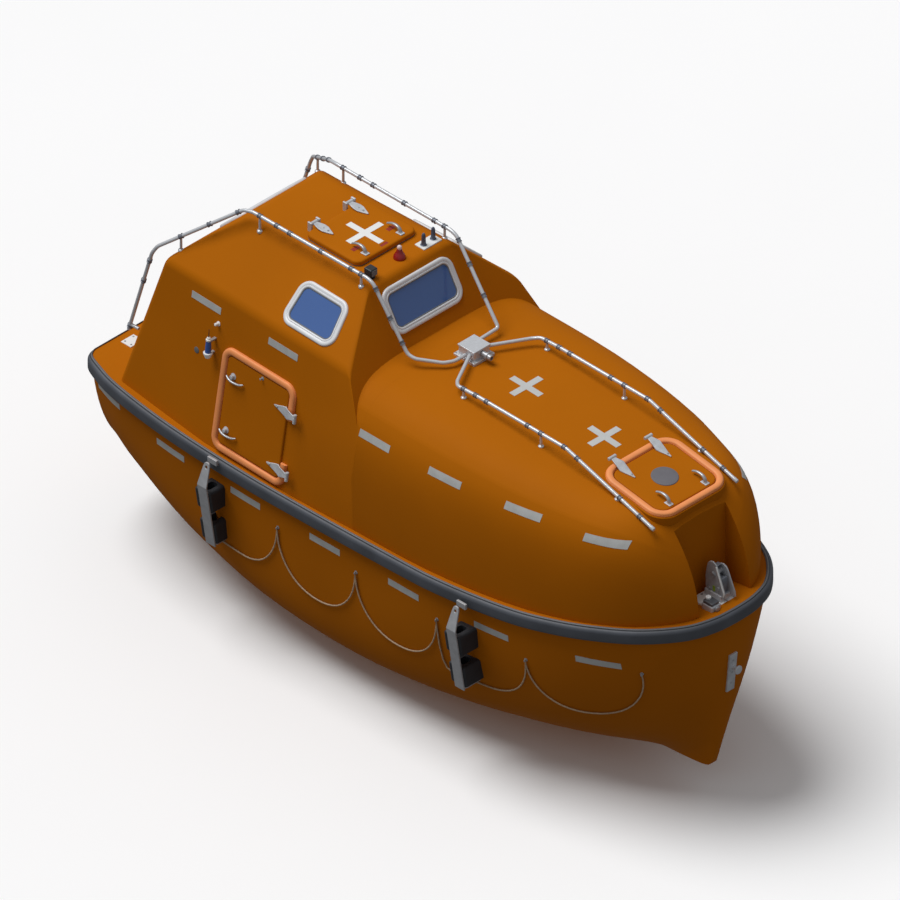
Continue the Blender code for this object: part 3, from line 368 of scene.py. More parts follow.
def axes_of(direction):
    """Two axes across a direction."""
    direction = Vector(direction).normalized()
    side = Vector((0, 0, 1)).cross(direction)
    if side.length < 0.05:
        side = Vector((1, 0, 0))
    side.normalize()
    return side, direction.cross(side).normalized(), direction


def around(count):
    """The cosine and sine of each place round a circle."""
    return [(math.cos(TAU * k / count), math.sin(TAU * k / count)) for k in range(count)]


def turned(name, at, direction, profile, look, sides=32):
    """A turned body: profile lists (distance along the direction, radius)."""
    at = Vector(at)
    a, b, n = axes_of(direction)
    rings = []
    for step, radius in profile:
        rings.append([tuple(at + n * step + (a * c + b * s) * max(radius, 0.0002)) for c, s in around(sides)])
    return from_rings(name, rings, look)


def ring_body(name, at, direction, radius, thick, look, count, sides):
    """A round ring, such as an eye."""
    at = Vector(at)
    a, b, n = axes_of(direction)
    rings = []
    for c, s in around(count):
        out = a * c + b * s
        rings.append([tuple(at + out * (radius + thick * u) + n * thick * v) for u, v in around(sides)])
    return from_rings(name, rings, look, closed_path=True)


def sweep(name, points, radius, look, sides=12, flat=1.0):
    """A pipe, bar or rope along points. radius may be one number or one for each point."""
    points = [Vector(p) for p in points]
    radii = radius if isinstance(radius, (list, tuple)) else [radius] * len(points)
    rings = []
    side = None
    for i, p in enumerate(points):
        back = points[max(i - 1, 0)]
        on = points[min(i + 1, len(points) - 1)]
        way = (on - back).normalized()
        if side is None:
            side = axes_of(way)[0]
        side = (side - way * side.dot(way)).normalized()
        up = way.cross(side).normalized()
        rings.append([tuple(p + side * radii[i] * c + up * radii[i] * flat * s) for c, s in around(sides)])
    return from_rings(name, rings, look, sharp=50)


def round_corner(a, corner, b, t):
    """The place at t on the curve that leaves a towards the corner and comes from it into b."""
    return a * (1 - t) ** 2 + corner * 2 * t * (1 - t) + b * t * t


def smooth_between(before, a, b, after, t):
    """The place at t between a and b, on a smooth curve through all four."""
    bend = 2 * before - 5 * a + 4 * b - after + t * (3 * (a - b) + after - before)
    return a + 0.5 * t * (b - before + t * bend)


def bend_path(points, radius):
    """A polyline with its corners rounded."""
    points = [Vector(p) for p in points]
    path = [points[0]]
    for a, b, c in zip(points, points[1:], points[2:]):
        one, two = (a - b), (c - b)
        r = min(radius, one.length * 0.45, two.length * 0.45)
        start, end = b + one.normalized() * r, b + two.normalized() * r
        path += [round_corner(start, b, end, k / BEND_STEPS) for k in range(BEND_STEPS + 1)]
    path.append(points[-1])
    return path


def curve_path(points):
    """A smooth curve through points."""
    points = [Vector(p) for p in points]
    path = []
    for i in range(len(points) - 1):
        before, a, b = points[max(i - 1, 0)], points[i], points[i + 1]
        after = points[min(i + 2, len(points) - 1)]
        path += [smooth_between(before, a, b, after, k / CURVE_STEPS) for k in range(CURVE_STEPS)]
    path.append(points[-1])
    return path


def flip(points, side):
    """Starboard points, for either side."""
    return [Vector((p[0], p[1] * -side, p[2])) for p in points]


def frame_on(origin, forward, up):
    """Axes on a face: along, up and out of it."""
    forward, up = Vector(forward).normalized(), Vector(up)
    out = forward.cross(up).normalized()
    up = out.cross(forward).normalized()
    return Vector(origin), forward, up, out


def over(place, side, u, v, n):
    """A point over a face: along it, up it and out from it. The face is to starboard, and side may flip it."""
    origin, along, up, out = place
    p = origin + along * u + up * v + out * n
    return Vector((p.x, p.y * -side, p.z))


def way_out(place, side):
    out = place[3]
    return Vector((out.x, out.y * -side, out.z))


def layered(name, place, points, levels, look):
    """A body of one outline on a face, at each of the levels."""
    return from_rings(name, [[tuple(over(place, -1, u, v, n)) for u, v in points] for n in levels], look)


def outline(corners, radius, inset):
    """A convex outline with round corners, drawn inset from its own edge."""
    count = len(corners)
    radius = max(radius - inset, LEAST_RADIUS)
    points = []
    for i in range(count):
        here = Vector(corners[i])
        one = (here - Vector(corners[i - 1])).normalized()
        two = (Vector(corners[(i + 1) % count]) - here).normalized()
        n1, n2 = Vector((-one.y, one.x)), Vector((-two.y, two.x))
        centre = here + (n1 + n2) / (1 + n1.dot(n2)) * (inset + radius)
        start = math.atan2(-n1.y, -n1.x)
        turn = math.atan2(one.cross(two), one.dot(two))
        for k in range(ROUND_STEPS + 1):
            a = start + turn * k / ROUND_STEPS
            points.append((centre.x + radius * math.cos(a), centre.y + radius * math.sin(a)))
    return points


def stack(name, place, corners, radius, levels, look=GELCOAT, ring=False, side=-1, sharp=35):
    """A body of outlines at levels of (inset, height), closed at both ends, or a ring if they go round."""
    rings = []
    for inset, height in levels:
        rings.append([tuple(over(place, side, u, v, height)) for u, v in outline(corners, radius, inset)])
    return from_rings(name, rings, look, closed_path=ring, sharp=sharp)


def rectangle(half_u, half_v):
    return ((-half_u, -half_v), (half_u, -half_v), (half_u, half_v), (-half_u, half_v))


def plate(name, place, points, thick, look, base, edge):
    """A flat plate: its outline on a face, with softened edges."""
    return soften(layered(name, place, points, (base, base + thick), look), edge, 2)


def bolt(at, direction, r):
    """A domed bolt head on its washer."""
    washer = ((-0.002, r * 1.5), (0.0015, r * 1.5), (0.002, r))
    head = (*washer, (0.5 * r, r), (0.75 * r, r * 0.75), (0.85 * r, 0.0))
    return turned("bolt", at, direction, head, STEEL, sides=12)


def done(piece, body, *nodes, slot=None):
    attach(piece, body)
    if nodes:
        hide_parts(*nodes)
    return piece


# The hull's and the canopy's tables, the same as in the part's own source.
# A hull row: x, half breadth and z at the deck, x and z at the keel, then half breadth and z of two handles.
HULL_ROWS = (
    (-2.822, 0.745, 0.695, -2.822, -0.280, 0.42, -0.270, 0.64, -0.12),
    (-2.785, 0.805, 0.694, -2.785, -0.285, 0.45, -0.275, 0.70, -0.13),
    (-2.680, 0.850, 0.693, -2.680, -0.300, 0.48, -0.290, 0.73, -0.15),
    (-2.400, 0.930, 0.690, -2.400, -0.350, 0.60, -0.330, 0.82, -0.23),
    (-1.800, 1.005, 0.683, -1.800, -0.470, 0.84, -0.460, 0.95, -0.36),
    (-1.000, 1.042, 0.680, -1.000, -0.600, 0.98, -0.600, 1.04, -0.50),
    (-0.100, 1.045, 0.690, -0.100, -0.640, 1.00, -0.660, 1.04, -0.55),
    (0.770, 1.045, 0.715, 0.770, -0.640, 0.87, -0.620, 1.02, -0.45),
    (1.490, 0.985, 0.762, 1.470, -0.620, 0.62, -0.560, 0.93, -0.33),
    (1.930, 0.880, 0.803, 1.880, -0.605, 0.40, -0.500, 0.83, -0.27),
    (2.280, 0.738, 0.845, 2.180, -0.595, 0.19, -0.420, 0.63, -0.22),
    (2.520, 0.592, 0.877, 2.370, -0.580, 0.09, -0.350, 0.41, -0.15),
    (2.710, 0.388, 0.900, 2.500, -0.565, 0.05, -0.290, 0.23, -0.05),
    (2.785, 0.190, 0.909, 2.570, -0.545, 0.03, -0.270, 0.10, 0.00),
    (2.800, 0.010, 0.910, 2.597, -0.520, 0.01, -0.260, 0.01, 0.00),
)
BEAM_HALF = 1.045
STRAKE_HEIGHT = 0.13
FENDER_AFT = (0.36, 0.75, 1.0)
KEEL_HALF = 0.03
LEAST_HALF = 0.005
HULL_STEPS = 20
SHEER_STEPS = 6
SHAFT_Z = -0.585
PROP_X = -2.35
GLAND_TOP = -0.335
GLAND = mm((0, 30), (0, 33), (38, 33), (40, 33.8), (49, 33.8), (50, 31), (50, 0))
WELL_WALL = 0.10
WELL_SHIFT = 0.011
WELL_ABOVE = 0.3
SOLE_Z = -0.26
WELL_ROWS = (4, 10)
STATIONS = 4

WALL = 0.04
# A cabin row: x and half breadth at the deck, then x, half breadth and z at knuckle and roof's edge.
CABIN_AFT = (-2.45, 0.875, -2.10, 0.780, 1.852, -1.68, 0.360, 2.260)
CABIN_MID = (-1.50, 0.985, -1.50, 0.790, 1.852, -1.50, 0.363, 2.260)
CABIN_FRONT = (0.00, 1.010, -0.20, 0.835, 1.852, -0.44, 0.400, 2.260)
CABIN_FORE_X = -0.58
FRONT_SLOPE = 0.585
# A foredeck row: x and half breadth at the deck, half breadth and z of two handles, x and z on the centreline.
DOME_ROWS = (
    (0.00, 1.010, 1.07, 1.86, 0.82, 1.800, -0.16, 1.800),
    (0.75, 1.008, 1.06, 1.85, 0.82, 1.785, 0.75, 1.783),
    (1.45, 0.950, 0.99, 1.81, 0.75, 1.750, 1.42, 1.743),
    (1.95, 0.840, 0.88, 1.76, 0.64, 1.710, 1.83, 1.712),
    (2.30, 0.695, 0.76, 1.71, 0.53, 1.680, 2.13, 1.675),
    (2.52, 0.540, 0.60, 1.57, 0.42, 1.630, 2.30, 1.648),
    (2.67, 0.345, 0.40, 1.36, 0.28, 1.585, 2.38, 1.637),
    (2.715, 0.165, 0.18, 1.31, 0.13, 1.572, 2.395, 1.636),
    (2.720, 0.010, 0.01, 1.30, 0.01, 1.570, 2.400, 1.636),
)
FOOT_AT = 0.36
SPLIT_X = 0.02
GAP = 0.0003
ROOF = CABIN_MID[7]

# The steps that each stretch of the canopy's half section takes, and its end along the foredeck's curve.
STRETCHES = ((8, FOOT_AT), (2, 0.45), (4, 0.475), (4, 0.62), (5, 0.68), (7, 1.0))
FOOT = 8
ROOF_ARC = 18
KNUCKLE_ROUND = 0.045
ROOF_ROUND = 0.06
CORNER_ROUND = 0.045
CORNER_STEPS = 5
# The inner solid: its end walls' share of the wall, where the nose's wall starts to grow and over what length,
# and how far the solid goes below the deck.
END_WALL = 1.2
NOSE_X = 2.3
NOSE_LONG = 0.42
FOOT_DROP = 0.1


def handles(p0, p1, p2, p3, t):
    s = 1 - t
    return s * s * s * p0 + 3 * t * s * s * p1 + 3 * t * t * s * p2 + t * t * t * p3


def smooth_row(rows, at):
    """A row between two rows of a table, on a smooth curve through them all."""
    i = min(int(at), len(rows) - 2)
    four = rows[max(i - 1, 0)], rows[i], rows[i + 1], rows[min(i + 2, len(rows) - 1)]
    return [smooth_between(*values, at - i) for values in zip(*four)]


def hull_half(row, steps=HULL_STEPS):
    """The hull's starboard half at a row, keel to deck."""
    x_top, half, z_top, x_keel, z_keel, b1, z1, b2, z2 = row
    foot = z_top - STRAKE_HEIGHT
    reach = 0.45 * (x_top - x_keel)
    points = []
    for t in (i / steps for i in range(steps + 1)):
        x = handles(x_keel, x_keel + reach, x_top - reach * 0.5, x_top, t)
        b = handles(min(KEEL_HALF, half), b1, b2, half, t)
        z = handles(z_keel, z1, z2, foot, t)
        points.append((x, -max(b, LEAST_HALF), z))
    points.append((x_top, -max(half, LEAST_HALF), z_top))
    return points


def both(half):
    return half + [(x, -y, z) for x, y, z in reversed(half)]


def ladder(count):
    half = count // 2
    return [[i, i + 1, count - 2 - i, count - 1 - i] for i in range(half - 1)]


def hull_row(at):
    row = smooth_row(HULL_ROWS, at)
    row[1] = min(max(row[1], LEAST_HALF), BEAM_HALF)
    return row


def build_hull():
    rings = []
    for k in range((len(HULL_ROWS) - 1) * STATIONS + 1):
        rings.append(both(hull_half(hull_row(k / STATIONS))))
    hull = from_rings("hull_skin", rings, GELCOAT, caps=ladder)
    well = []
    first, last = WELL_ROWS
    for row in HULL_ROWS[first : last + 1]:
        half = []
        x = row[0] + WELL_SHIFT
        for _, y, z in hull_half(row, 7):
            half.append((x, min(y + WELL_WALL, -0.02), max(z + WELL_WALL, SOLE_Z)))
        half[-1] = (x, half[-1][1], half[-1][2] + WELL_ABOVE)
        well.append(both(half))
    carve(hull, [from_rings("well", well)])
    gland = turned("stock_gland", (PROP_X, 0, GLAND_TOP), (0, 0, -1), GLAND, CAST_GREY)
    done(gland, "boat", slot="stainless_steel")
    return done(hull, "boat", "hull", slot="orange_gelcoat")


def deck_z(x):
    for a, b in zip(HULL_ROWS, HULL_ROWS[1:]):
        if a[0] <= x <= b[0]:
            return a[2] + (x - a[0]) / (b[0] - a[0]) * (b[2] - a[2])
    raise ValueError("off the deck")


def sheer_path():
    """The sheer, right round, with the way out and the strip's share of its thickness at each place."""
    path, shares = [], []
    for k in range((len(HULL_ROWS) - 1) * SHEER_STEPS + 1):
        row = hull_row(k / SHEER_STEPS)
        path.append((row[0], -row[1], row[2]))
        aft = min(k / SHEER_STEPS, len(FENDER_AFT) - 1.001)
        low, high = FENDER_AFT[int(aft)], FENDER_AFT[int(aft) + 1]
        shares.append(low + (high - low) * (aft - int(aft)))
    path += [(x, -y, z) for x, y, z in reversed(path)]
    shares += shares[::-1]
    count = len(path)
    found = []
    for i, (x, y, z) in enumerate(path):
        back, on = Vector(path[i - 1][:2]), Vector(path[(i + 1) % count][:2])
        here = Vector((x, y))
        one, two = (here - back).normalized(), (on - here).normalized()
        out = Vector((one.y + two.y, -one.x - two.x)).normalized()
        stretch = 1 / max(out.dot(Vector((one.y, -one.x))), 0.3)
        found.append((Vector((x, y, z)), Vector((out.x, out.y, 0)) * stretch * shares[i]))
    return found


def rim(name, section, look):
    """A strip round the whole sheer. section lists (distance out, height)."""
    rings = []
    for place, out in sheer_path():
        rings.append([tuple(place + out * d + Vector((0, 0, h))) for d, h in section])
    return from_rings(name, rings, look, closed_path=True, sharp=45)


def arc_section(d, h, rd, rh, start, end, steps):
    """Points on part of an ellipse in a strip's section, angles in degrees from straight out."""
    points = []
    for k in range(steps + 1):
        a = math.radians(start + (end - start) * k / steps)
        points.append((d + rd * math.cos(a), h + rh * math.sin(a)))
    return points


def build_fender():
    body = [(GAP, -0.108)]
    body += arc_section(0.020, -0.084, 0.029, 0.024, -90, 0, 6)
    body += arc_section(0.023, -0.030, 0.026, 0.032, 0, 80, 7)
    body += [(0.019, -0.003), (GAP, -0.003)]
    strip = rim("fender_strip", body, FENDER_DARK)
    # The bead along the fender's top is paler than the rubber below it: a painted highlight.
    bead = [(GAP, -0.002)] + arc_section(0.0115, 0.002, 0.0085, 0.008, -40, 170, 8) + [(GAP, 0.006)]
    top = rim("fender_bead_painted_highlight", bead, FENDER_HIGHLIGHT_GREY)
    done(strip, "boat", "fender", slot="fender_rubber")
    done(top, "boat", "fender", slot="fender_rubber")


# The canopy

def cabin_fore():
    x0, b0, x1, b1, z1, x2, b2, z2 = CABIN_MID
    run = CABIN_FORE_X - x0
    widen = (CABIN_FRONT[3] - b1) / (CABIN_FRONT[2] - x1)
    lean = (b0 - b1) / (z1 - deck_z(x0))
    knuckle = b1 + run * widen
    base = knuckle + lean * (z1 - deck_z(CABIN_FORE_X))
    return (CABIN_FORE_X, base, CABIN_FORE_X, knuckle, z1, CABIN_FORE_X, b2 + run * widen, z2)


def front_x(z):
    return CABIN_FRONT[2] + FRONT_SLOPE * (CABIN_FRONT[4] - z)


def line(a, b, steps):
    """Points after a, up to b."""
    return [a + (b - a) * (k / steps) for k in range(1, steps + 1)]


def arc(a, corner, b, steps):
    return [round_corner(a, corner, b, k / steps) for k in range(1, steps + 1)]


def cabin_points(row, low=None):
    """A cabin ring's half, deck to roof's middle, as (x, half breadth, z). low replaces its lowest stretch."""
    x0, b0, x1, b1, z1, x2, b2, z2 = row
    z0 = deck_z(x0)
    first, knuckle = Vector((x0, b0, z0)), Vector((x1, b1, z1))
    edge, middle = Vector((x2, b2, z2)), Vector((x2, 0, z2))
    if low is None:
        foot_z = handles(z0, DOME_ROWS[0][3], DOME_ROWS[0][5], DOME_ROWS[0][7], FOOT_AT)
        foot = first + (knuckle - first) * ((foot_z - z0) / (z1 - z0))
        low = [first] + line(first, foot, STRETCHES[0][0])
    foot = low[-1]
    k1 = knuckle + (foot - knuckle).normalized() * KNUCKLE_ROUND
    k2 = knuckle + (edge - knuckle).normalized() * KNUCKLE_ROUND
    e1 = edge + (knuckle - edge).normalized() * ROOF_ROUND
    e2 = edge + (middle - edge).normalized() * ROOF_ROUND
    points = list(low) + line(foot, k1, STRETCHES[1][0]) + arc(k1, knuckle, k2, STRETCHES[2][0])
    points += line(k2, e1, STRETCHES[3][0]) + arc(e1, edge, e2, STRETCHES[4][0])
    return points + line(e2, middle, STRETCHES[5][0])


def section_places():
    places, last = [0.0], 0.0
    for steps, end in STRETCHES:
        places += [last + (end - last) * k / steps for k in range(1, steps + 1)]
        last = end
    return places


def dome_points(row, on_front=False):
    x0, b0, b1, z1, b2, z2, x3, z3 = row
    z0 = deck_z(x0)
    points = []
    for t in section_places():
        b, z = handles(b0, b1, b2, 0.0, t), handles(z0, z1, z2, z3, t)
        x = x0 + (x3 - x0) * t * t * (3 - 2 * t)
        if on_front:
            x = min(x0, front_x(z))
        points.append(Vector((x, b, z)))
    return points


def corner_rings(edge, side_way, face_way):
    """Rings that round an edge, from the side surface over to the end face."""
    rings = []
    for k in range(CORNER_STEPS + 1):
        t = k / CORNER_STEPS
        rings.append([round_corner(p + s, p, p + f, t) for p, s, f in zip(edge, side_way, face_way)])
    return rings


def canopy_halves():
    aft, mid, fore = cabin_points(CABIN_AFT), cabin_points(CABIN_MID), cabin_points(cabin_fore())
    foot_row = dome_points(DOME_ROWS[0], on_front=True)
    front = cabin_points(CABIN_FRONT, low=foot_row[: FOOT + 1])
    top = len(front) - 1
    upper_face = Vector((CABIN_AFT[2] - CABIN_AFT[5], 0, CABIN_AFT[4] - CABIN_AFT[7])).normalized()
    inward = Vector((0, -1, 0))
    back_side, back_face = [], []
    for j, (p, q) in enumerate(zip(aft, mid)):
        back_side.append((q - p).normalized() * CORNER_ROUND)
        over = min(max((j - ROOF_ARC) / STRETCHES[4][0], 0.0), 1.0)
        back_face.append((inward * (1 - over) + upper_face * over) * CORNER_ROUND)
    front_side, front_face = [], []
    for j, (p, q, r) in enumerate(zip(front, fore, foot_row)):
        size = CORNER_ROUND * min(max((j - FOOT) / 4, 0.0), 1.0)
        front_side.append((q - p).normalized() * size)
        inner = r - p
        front_face.append(inner.normalized() * size if inner.length > 1e-5 else Vector((0, 0, 0)))
    halves = list(reversed(corner_rings(aft, back_side, back_face)))
    halves += [mid, fore]
    halves += corner_rings(front, front_side, front_face)
    halves.append(foot_row)
    for k in range(1, (len(DOME_ROWS) - 1) * STATIONS + 1):
        halves.append(dome_points(smooth_row(DOME_ROWS, k / STATIONS)))
    return halves, top


def canopy_solid(name, grow=0.0):
    halves, top = canopy_halves()
    if grow < 0:
        # The shrunk one stops short of the nose, inside the recess's back wall.
        halves = halves[:-STATIONS]
    rings = []
    for i, half in enumerate(halves):
        push = 0.0
        if grow:
            ahead = max(0.0, (half[0].x - NOSE_X) / NOSE_LONG)
            push = -grow * END_WALL if i <= CORNER_STEPS else grow * END_WALL * ahead
            if CORNER_STEPS + 2 < i <= CORNER_STEPS * 2 + 4:
                push = grow * END_WALL
        ring = []
        for j, p in enumerate(half):
            lift = grow if j > FOOT else 0.0
            if j == 0:
                lift = GAP if not grow else -FOOT_DROP
            b = 0.0 if j == top else max(p.y + grow, 0.004)
            ring.append((p.x + push, -b, p.z + lift))
        rings.append(ring + [(x, -y, z) for x, y, z in reversed(ring[:-1])])

    def ends(count):
        bands = [[i, i + 1, count - 2 - i, count - 1 - i] for i in range(ROOF_ARC)]
        return bands + [list(range(ROOF_ARC, 2 * top - ROOF_ARC + 1))]

    return from_rings(name, rings, GELCOAT, caps=ends, sharp=25)


# The bow recess round the fore hook.
RECESS_X = 2.454
RECESS_HALF = 0.255
RECESS_LOW = 0.3
RECESS_TOP = 1.75

DOOR_AFT = -1.42
DOOR_FORE = -0.67
DOOR_LOW = 0.692
DOOR_HIGH = 1.515
SEAL_WIDE = 0.055
SEAL_HIGH = 0.028
LEAF_GAP = 0.006
LEAF_THICK = 0.016
PLUG_DEEP = 0.030
LIP = 0.016
DOOR_RADIUS = 0.10
DOOR_SWING = 0.046
HINGE_OUT = 0.050
FORE_HINGE_OUT = 0.028
HINGE_UP = (-0.271, 0.194)
HANDLE_UP = (-0.222, 0.210)
SEAL_STOP = (0.055, -0.055)
SIDE_WINDOW_X = -0.69
SIDE_WINDOW_UP = 0.40
FRONT_WINDOW_Z = 2.045
SIDE_CORNERS = ((-0.275, -0.180), (0.265, -0.180), (0.200, 0.180), (-0.275, 0.180))
FRONT_CORNERS = rectangle(0.350, 0.178)
WINDOW_WIDE = 0.050
WINDOW_RADIUS = 0.100

# A hatch's middle along the boat, and its half length and half breadth.
ROOF_HATCH = (-0.915, 0.265, 0.30)
ROOF_HATCH_RADIUS = 0.06
FORE_HATCH = (2.105, 0.325, 0.355)
FORE_HATCH_RADIUS = 0.15
FORE_HATCH_Z = 1.679
FORE_HATCH_TILT = math.radians(8.6)
FORE_ARM_Y = (-0.18, 0.18)


def wall_frame():
    """The starboard wall at the door."""
    x0, b0, x1, b1, z1 = CABIN_MID[:5]
    knuckle = Vector((x1, -b1, z1))
    forward = Vector((1, -(cabin_fore()[3] - b1) / (CABIN_FORE_X - x1), 0))
    rise = knuckle - Vector((x0, -b0, deck_z(x0)))
    middle = knuckle + forward * ((DOOR_AFT + DOOR_FORE) / 2 - x1)
    drop = ((DOOR_LOW + DOOR_HIGH) / 2 - middle.z) / rise.z
    return frame_on(middle + rise * drop, forward, rise)


def chamfer_frame():
    """The starboard chamfer, at the side window."""
    knuckle = Vector((CABIN_MID[2], -CABIN_MID[3], CABIN_MID[4]))
    front = Vector((CABIN_FRONT[2], -CABIN_FRONT[3], CABIN_FRONT[4]))
    roof = Vector((CABIN_MID[5], -CABIN_MID[6], CABIN_MID[7]))
    along = (front - knuckle) / (front.x - knuckle.x)
    rise = roof - knuckle
    middle = knuckle + along * (SIDE_WINDOW_X - knuckle.x) + rise * SIDE_WINDOW_UP
    return frame_on(middle, along, rise)


def front_frame():
    return frame_on((front_x(FRONT_WINDOW_Z), 0, FRONT_WINDOW_Z), TO_PORT, (-FRONT_SLOPE, 0, 1))


def aft_frame():
    rise = Vector((CABIN_AFT[5] - CABIN_AFT[2], 0, CABIN_AFT[7] - CABIN_AFT[4]))
    middle = Vector((CABIN_AFT[2], 0, CABIN_AFT[4])) + rise * 0.5
    return frame_on(middle, (0, -1, 0), rise)


def roof_frame():
    return frame_on((ROOF_HATCH[0], 0, ROOF), AHEAD, TO_PORT)


def fore_frame():
    tilt = FORE_HATCH_TILT
    return frame_on((FORE_HATCH[0], 0, FORE_HATCH_Z), (math.cos(tilt), 0, -math.sin(tilt)), TO_PORT)


DOOR_CORNERS = rectangle((DOOR_FORE - DOOR_AFT) / 2, (DOOR_HIGH - DOOR_LOW) / 2)
DOOR_HOLE = SEAL_WIDE + LEAF_GAP + LIP


# Each opening's place, corners and corner radius

def doorway():
    return wall_frame(), DOOR_CORNERS, DOOR_RADIUS


def roof_hatchway():
    return roof_frame(), rectangle(*ROOF_HATCH[1:]), ROOF_HATCH_RADIUS


def fore_hatchway():
    return fore_frame(), rectangle(*FORE_HATCH[1:]), FORE_HATCH_RADIUS


def opening_cutters():
    """The bodies that cut the doorways, windows and hatchways, and the fore hatch's seat."""
    deep = -0.15
    holes = []
    for side in SIDES.values():
        holes.append((doorway(), DOOR_HOLE, -0.12, side))
        holes.append(((chamfer_frame(), SIDE_CORNERS, WINDOW_RADIUS), WINDOW_WIDE, deep, side))
    for place in (front_frame(), aft_frame()):
        holes.append(((place, FRONT_CORNERS, WINDOW_RADIUS), WINDOW_WIDE, deep, -1))
    holes.append((roof_hatchway(), 0.053, deep, -1))
    holes += [(fore_hatchway(), -0.02, 0.0, -1), (fore_hatchway(), DOOR_HOLE, deep, -1)]
    tools = []
    for opening, inset, low, side in holes:
        tools.append(stack("hole", *opening, ((inset, low), (inset, 0.08)), side=side))
    return tools


def build_canopy():
    outer = canopy_solid("canopy_cabin_skin")
    coaming = stack("coaming", *fore_hatchway(), ((-0.016, -0.07), (-0.012, -0.004), (-0.008, 0.0)))
    carve(outer, [coaming], "UNION", 25)
    inner = canopy_solid("inner", -WALL)
    beside = RECESS_HALF + WALL
    carve(inner, [box("recess_block", (RECESS_X - WALL, -beside, RECESS_LOW), (3.0, beside, RECESS_TOP))])
    void = box("recess", (RECESS_X, -RECESS_HALF, RECESS_LOW), (3.1, RECESS_HALF, RECESS_TOP + 0.1))
    carve(outer, [inner, void] + opening_cutters(), sharp=25)
    fore = twin(outer, "canopy_foredeck_skin")
    carve(outer, [box("ahead", (SPLIT_X, -2, 0), (4, 2, 4))], sharp=25)
    carve(fore, [box("behind", (-4, -2, 0), (SPLIT_X + GAP, 2, 4))], sharp=25)
    done(outer, "boat", "canopy_cabin", slot="orange_gelcoat")
    done(fore, "boat", "canopy_foredeck", slot="orange_gelcoat")
    return outer, fore


# Inward from the window's outer edge, and out.
WINDOW_FRAME = (
    (0, GAP), (0.001, 0.008), (0.005, 0.013), (0.012, 0.016), (0.028, 0.0155), (0.033, 0.012), (0.0345, 0.012),
    (0.037, 0.0155), (0.043, 0.016), (WINDOW_WIDE - 0.002, 0.0135), (WINDOW_WIDE, 0.010), (WINDOW_WIDE, GAP),
)
# Inward from the frame's inner edge, and out.
WINDOW_BEAD = ((GAP, 0.0063), (GAP, 0.0100), (0.003, 0.0115), (0.007, 0.0095), (0.008, 0.0063))
WINDOW_PANE = ((GAP, -0.006), (GAP, 0.0045), (0.0015, 0.006))


def window(word, place, corners, side=-1):
    """A frame, the dark bead inside it and the pane."""
    bead, pane = ([(WINDOW_WIDE + d, h) for d, h in rows] for rows in (WINDOW_BEAD, WINDOW_PANE))
    rows = (("surround", WINDOW_FRAME, FRAME_GREY), ("bead", bead, GASKET), ("pane", pane, GLASS_BLUE))
    for part, levels, look in rows:
        shape = (place, corners, WINDOW_RADIUS, levels, look)
        made = stack(f"window_{part}_{word}", *shape, ring=part != "pane", side=side)
        if part == "surround":
            done(made, "boat", f"window_frame_{word}", slot="window_frame")
        elif part == "bead":
            done(made, "boat", slot="window_frame")
        else:
            done(made, "boat", f"window_glass_{word}", slot="window_glass")


def seal_levels():
    w, h = SEAL_WIDE, SEAL_HIGH
    levels = [(0.0, GAP), (0.0, h * 0.35)]
    for k in range(9):
        a = math.pi * k / 8
        levels.append((w / 2 - (w / 2 - 0.002) * math.cos(a), h * 0.35 + h * 0.65 * math.sin(a) ** 0.7))
    return levels + [(w, h * 0.35), (w, GAP)]


def leaf_levels():
    """A leaf: plug, flange and a slightly crowned face."""
    t, edge = LEAF_THICK, SEAL_WIDE + LEAF_GAP
    return (
        (edge + LIP + 0.012, -PLUG_DEEP), (edge + LIP + 0.012, GAP), (edge, GAP), (edge, t * 0.5),
        (edge + 0.002, t * 0.8), (edge + 0.006, t * 0.95), (edge + 0.014, t), (edge + 0.05, t + 0.001),
    )


# The crescent's places beside its boss: along, up and out of the face.
LEVER_CURVE = mm((4, 0, 12), (-10, 1, 34), (-40, 3, 46), (-85, 3, 42), (-128, 0, 24))
HANDLE_CURVE = mm((-55, -10, 32), (-30, -24, 37), (0, -31, 40), (40, -31, 40), (84, -24, 38), (115, -10, 31))
HANDLE_BOSS = mm((0, 26), (4, 26), (7, 17), (19, 15), (26, 15), (29, 11), (29, 0))
# Along a hinge arm from its knuckle: the distance and the half breadth. It ends in a point.
ARM_EDGE = mm((2, 17), (35, 24), (80, 37), (118, 37), (155, 28), (195, 14), (235, 4))
ARM_THICK = 0.009
ARM_BOLTS = (0.135, 0.200)
# The arm steps down from the knuckle's height to the leaf between these distances.
ARM_STEP = (0.085, 0.115)
# Down a knuckle of three leaves: the distance and the radius.
KNUCKLE = mm(
    (0, 0), (0, 11), (3, 13.5), (24, 13.5), (25, 12), (27, 12), (28, 13.5), (44, 13.5), (45, 12), (47, 12),
    (48, 13.5), (69, 13.5), (72, 11), (72, 0),
)


def mirrored(edge, start, v, turn):
    """An arm's outline from its edge's distances and half breadths. turn is its way along u."""
    points = [(start + turn * reach, v + half) for reach, half in edge]
    return points + [(start + turn * reach, v - half) for reach, half in reversed(edge)]


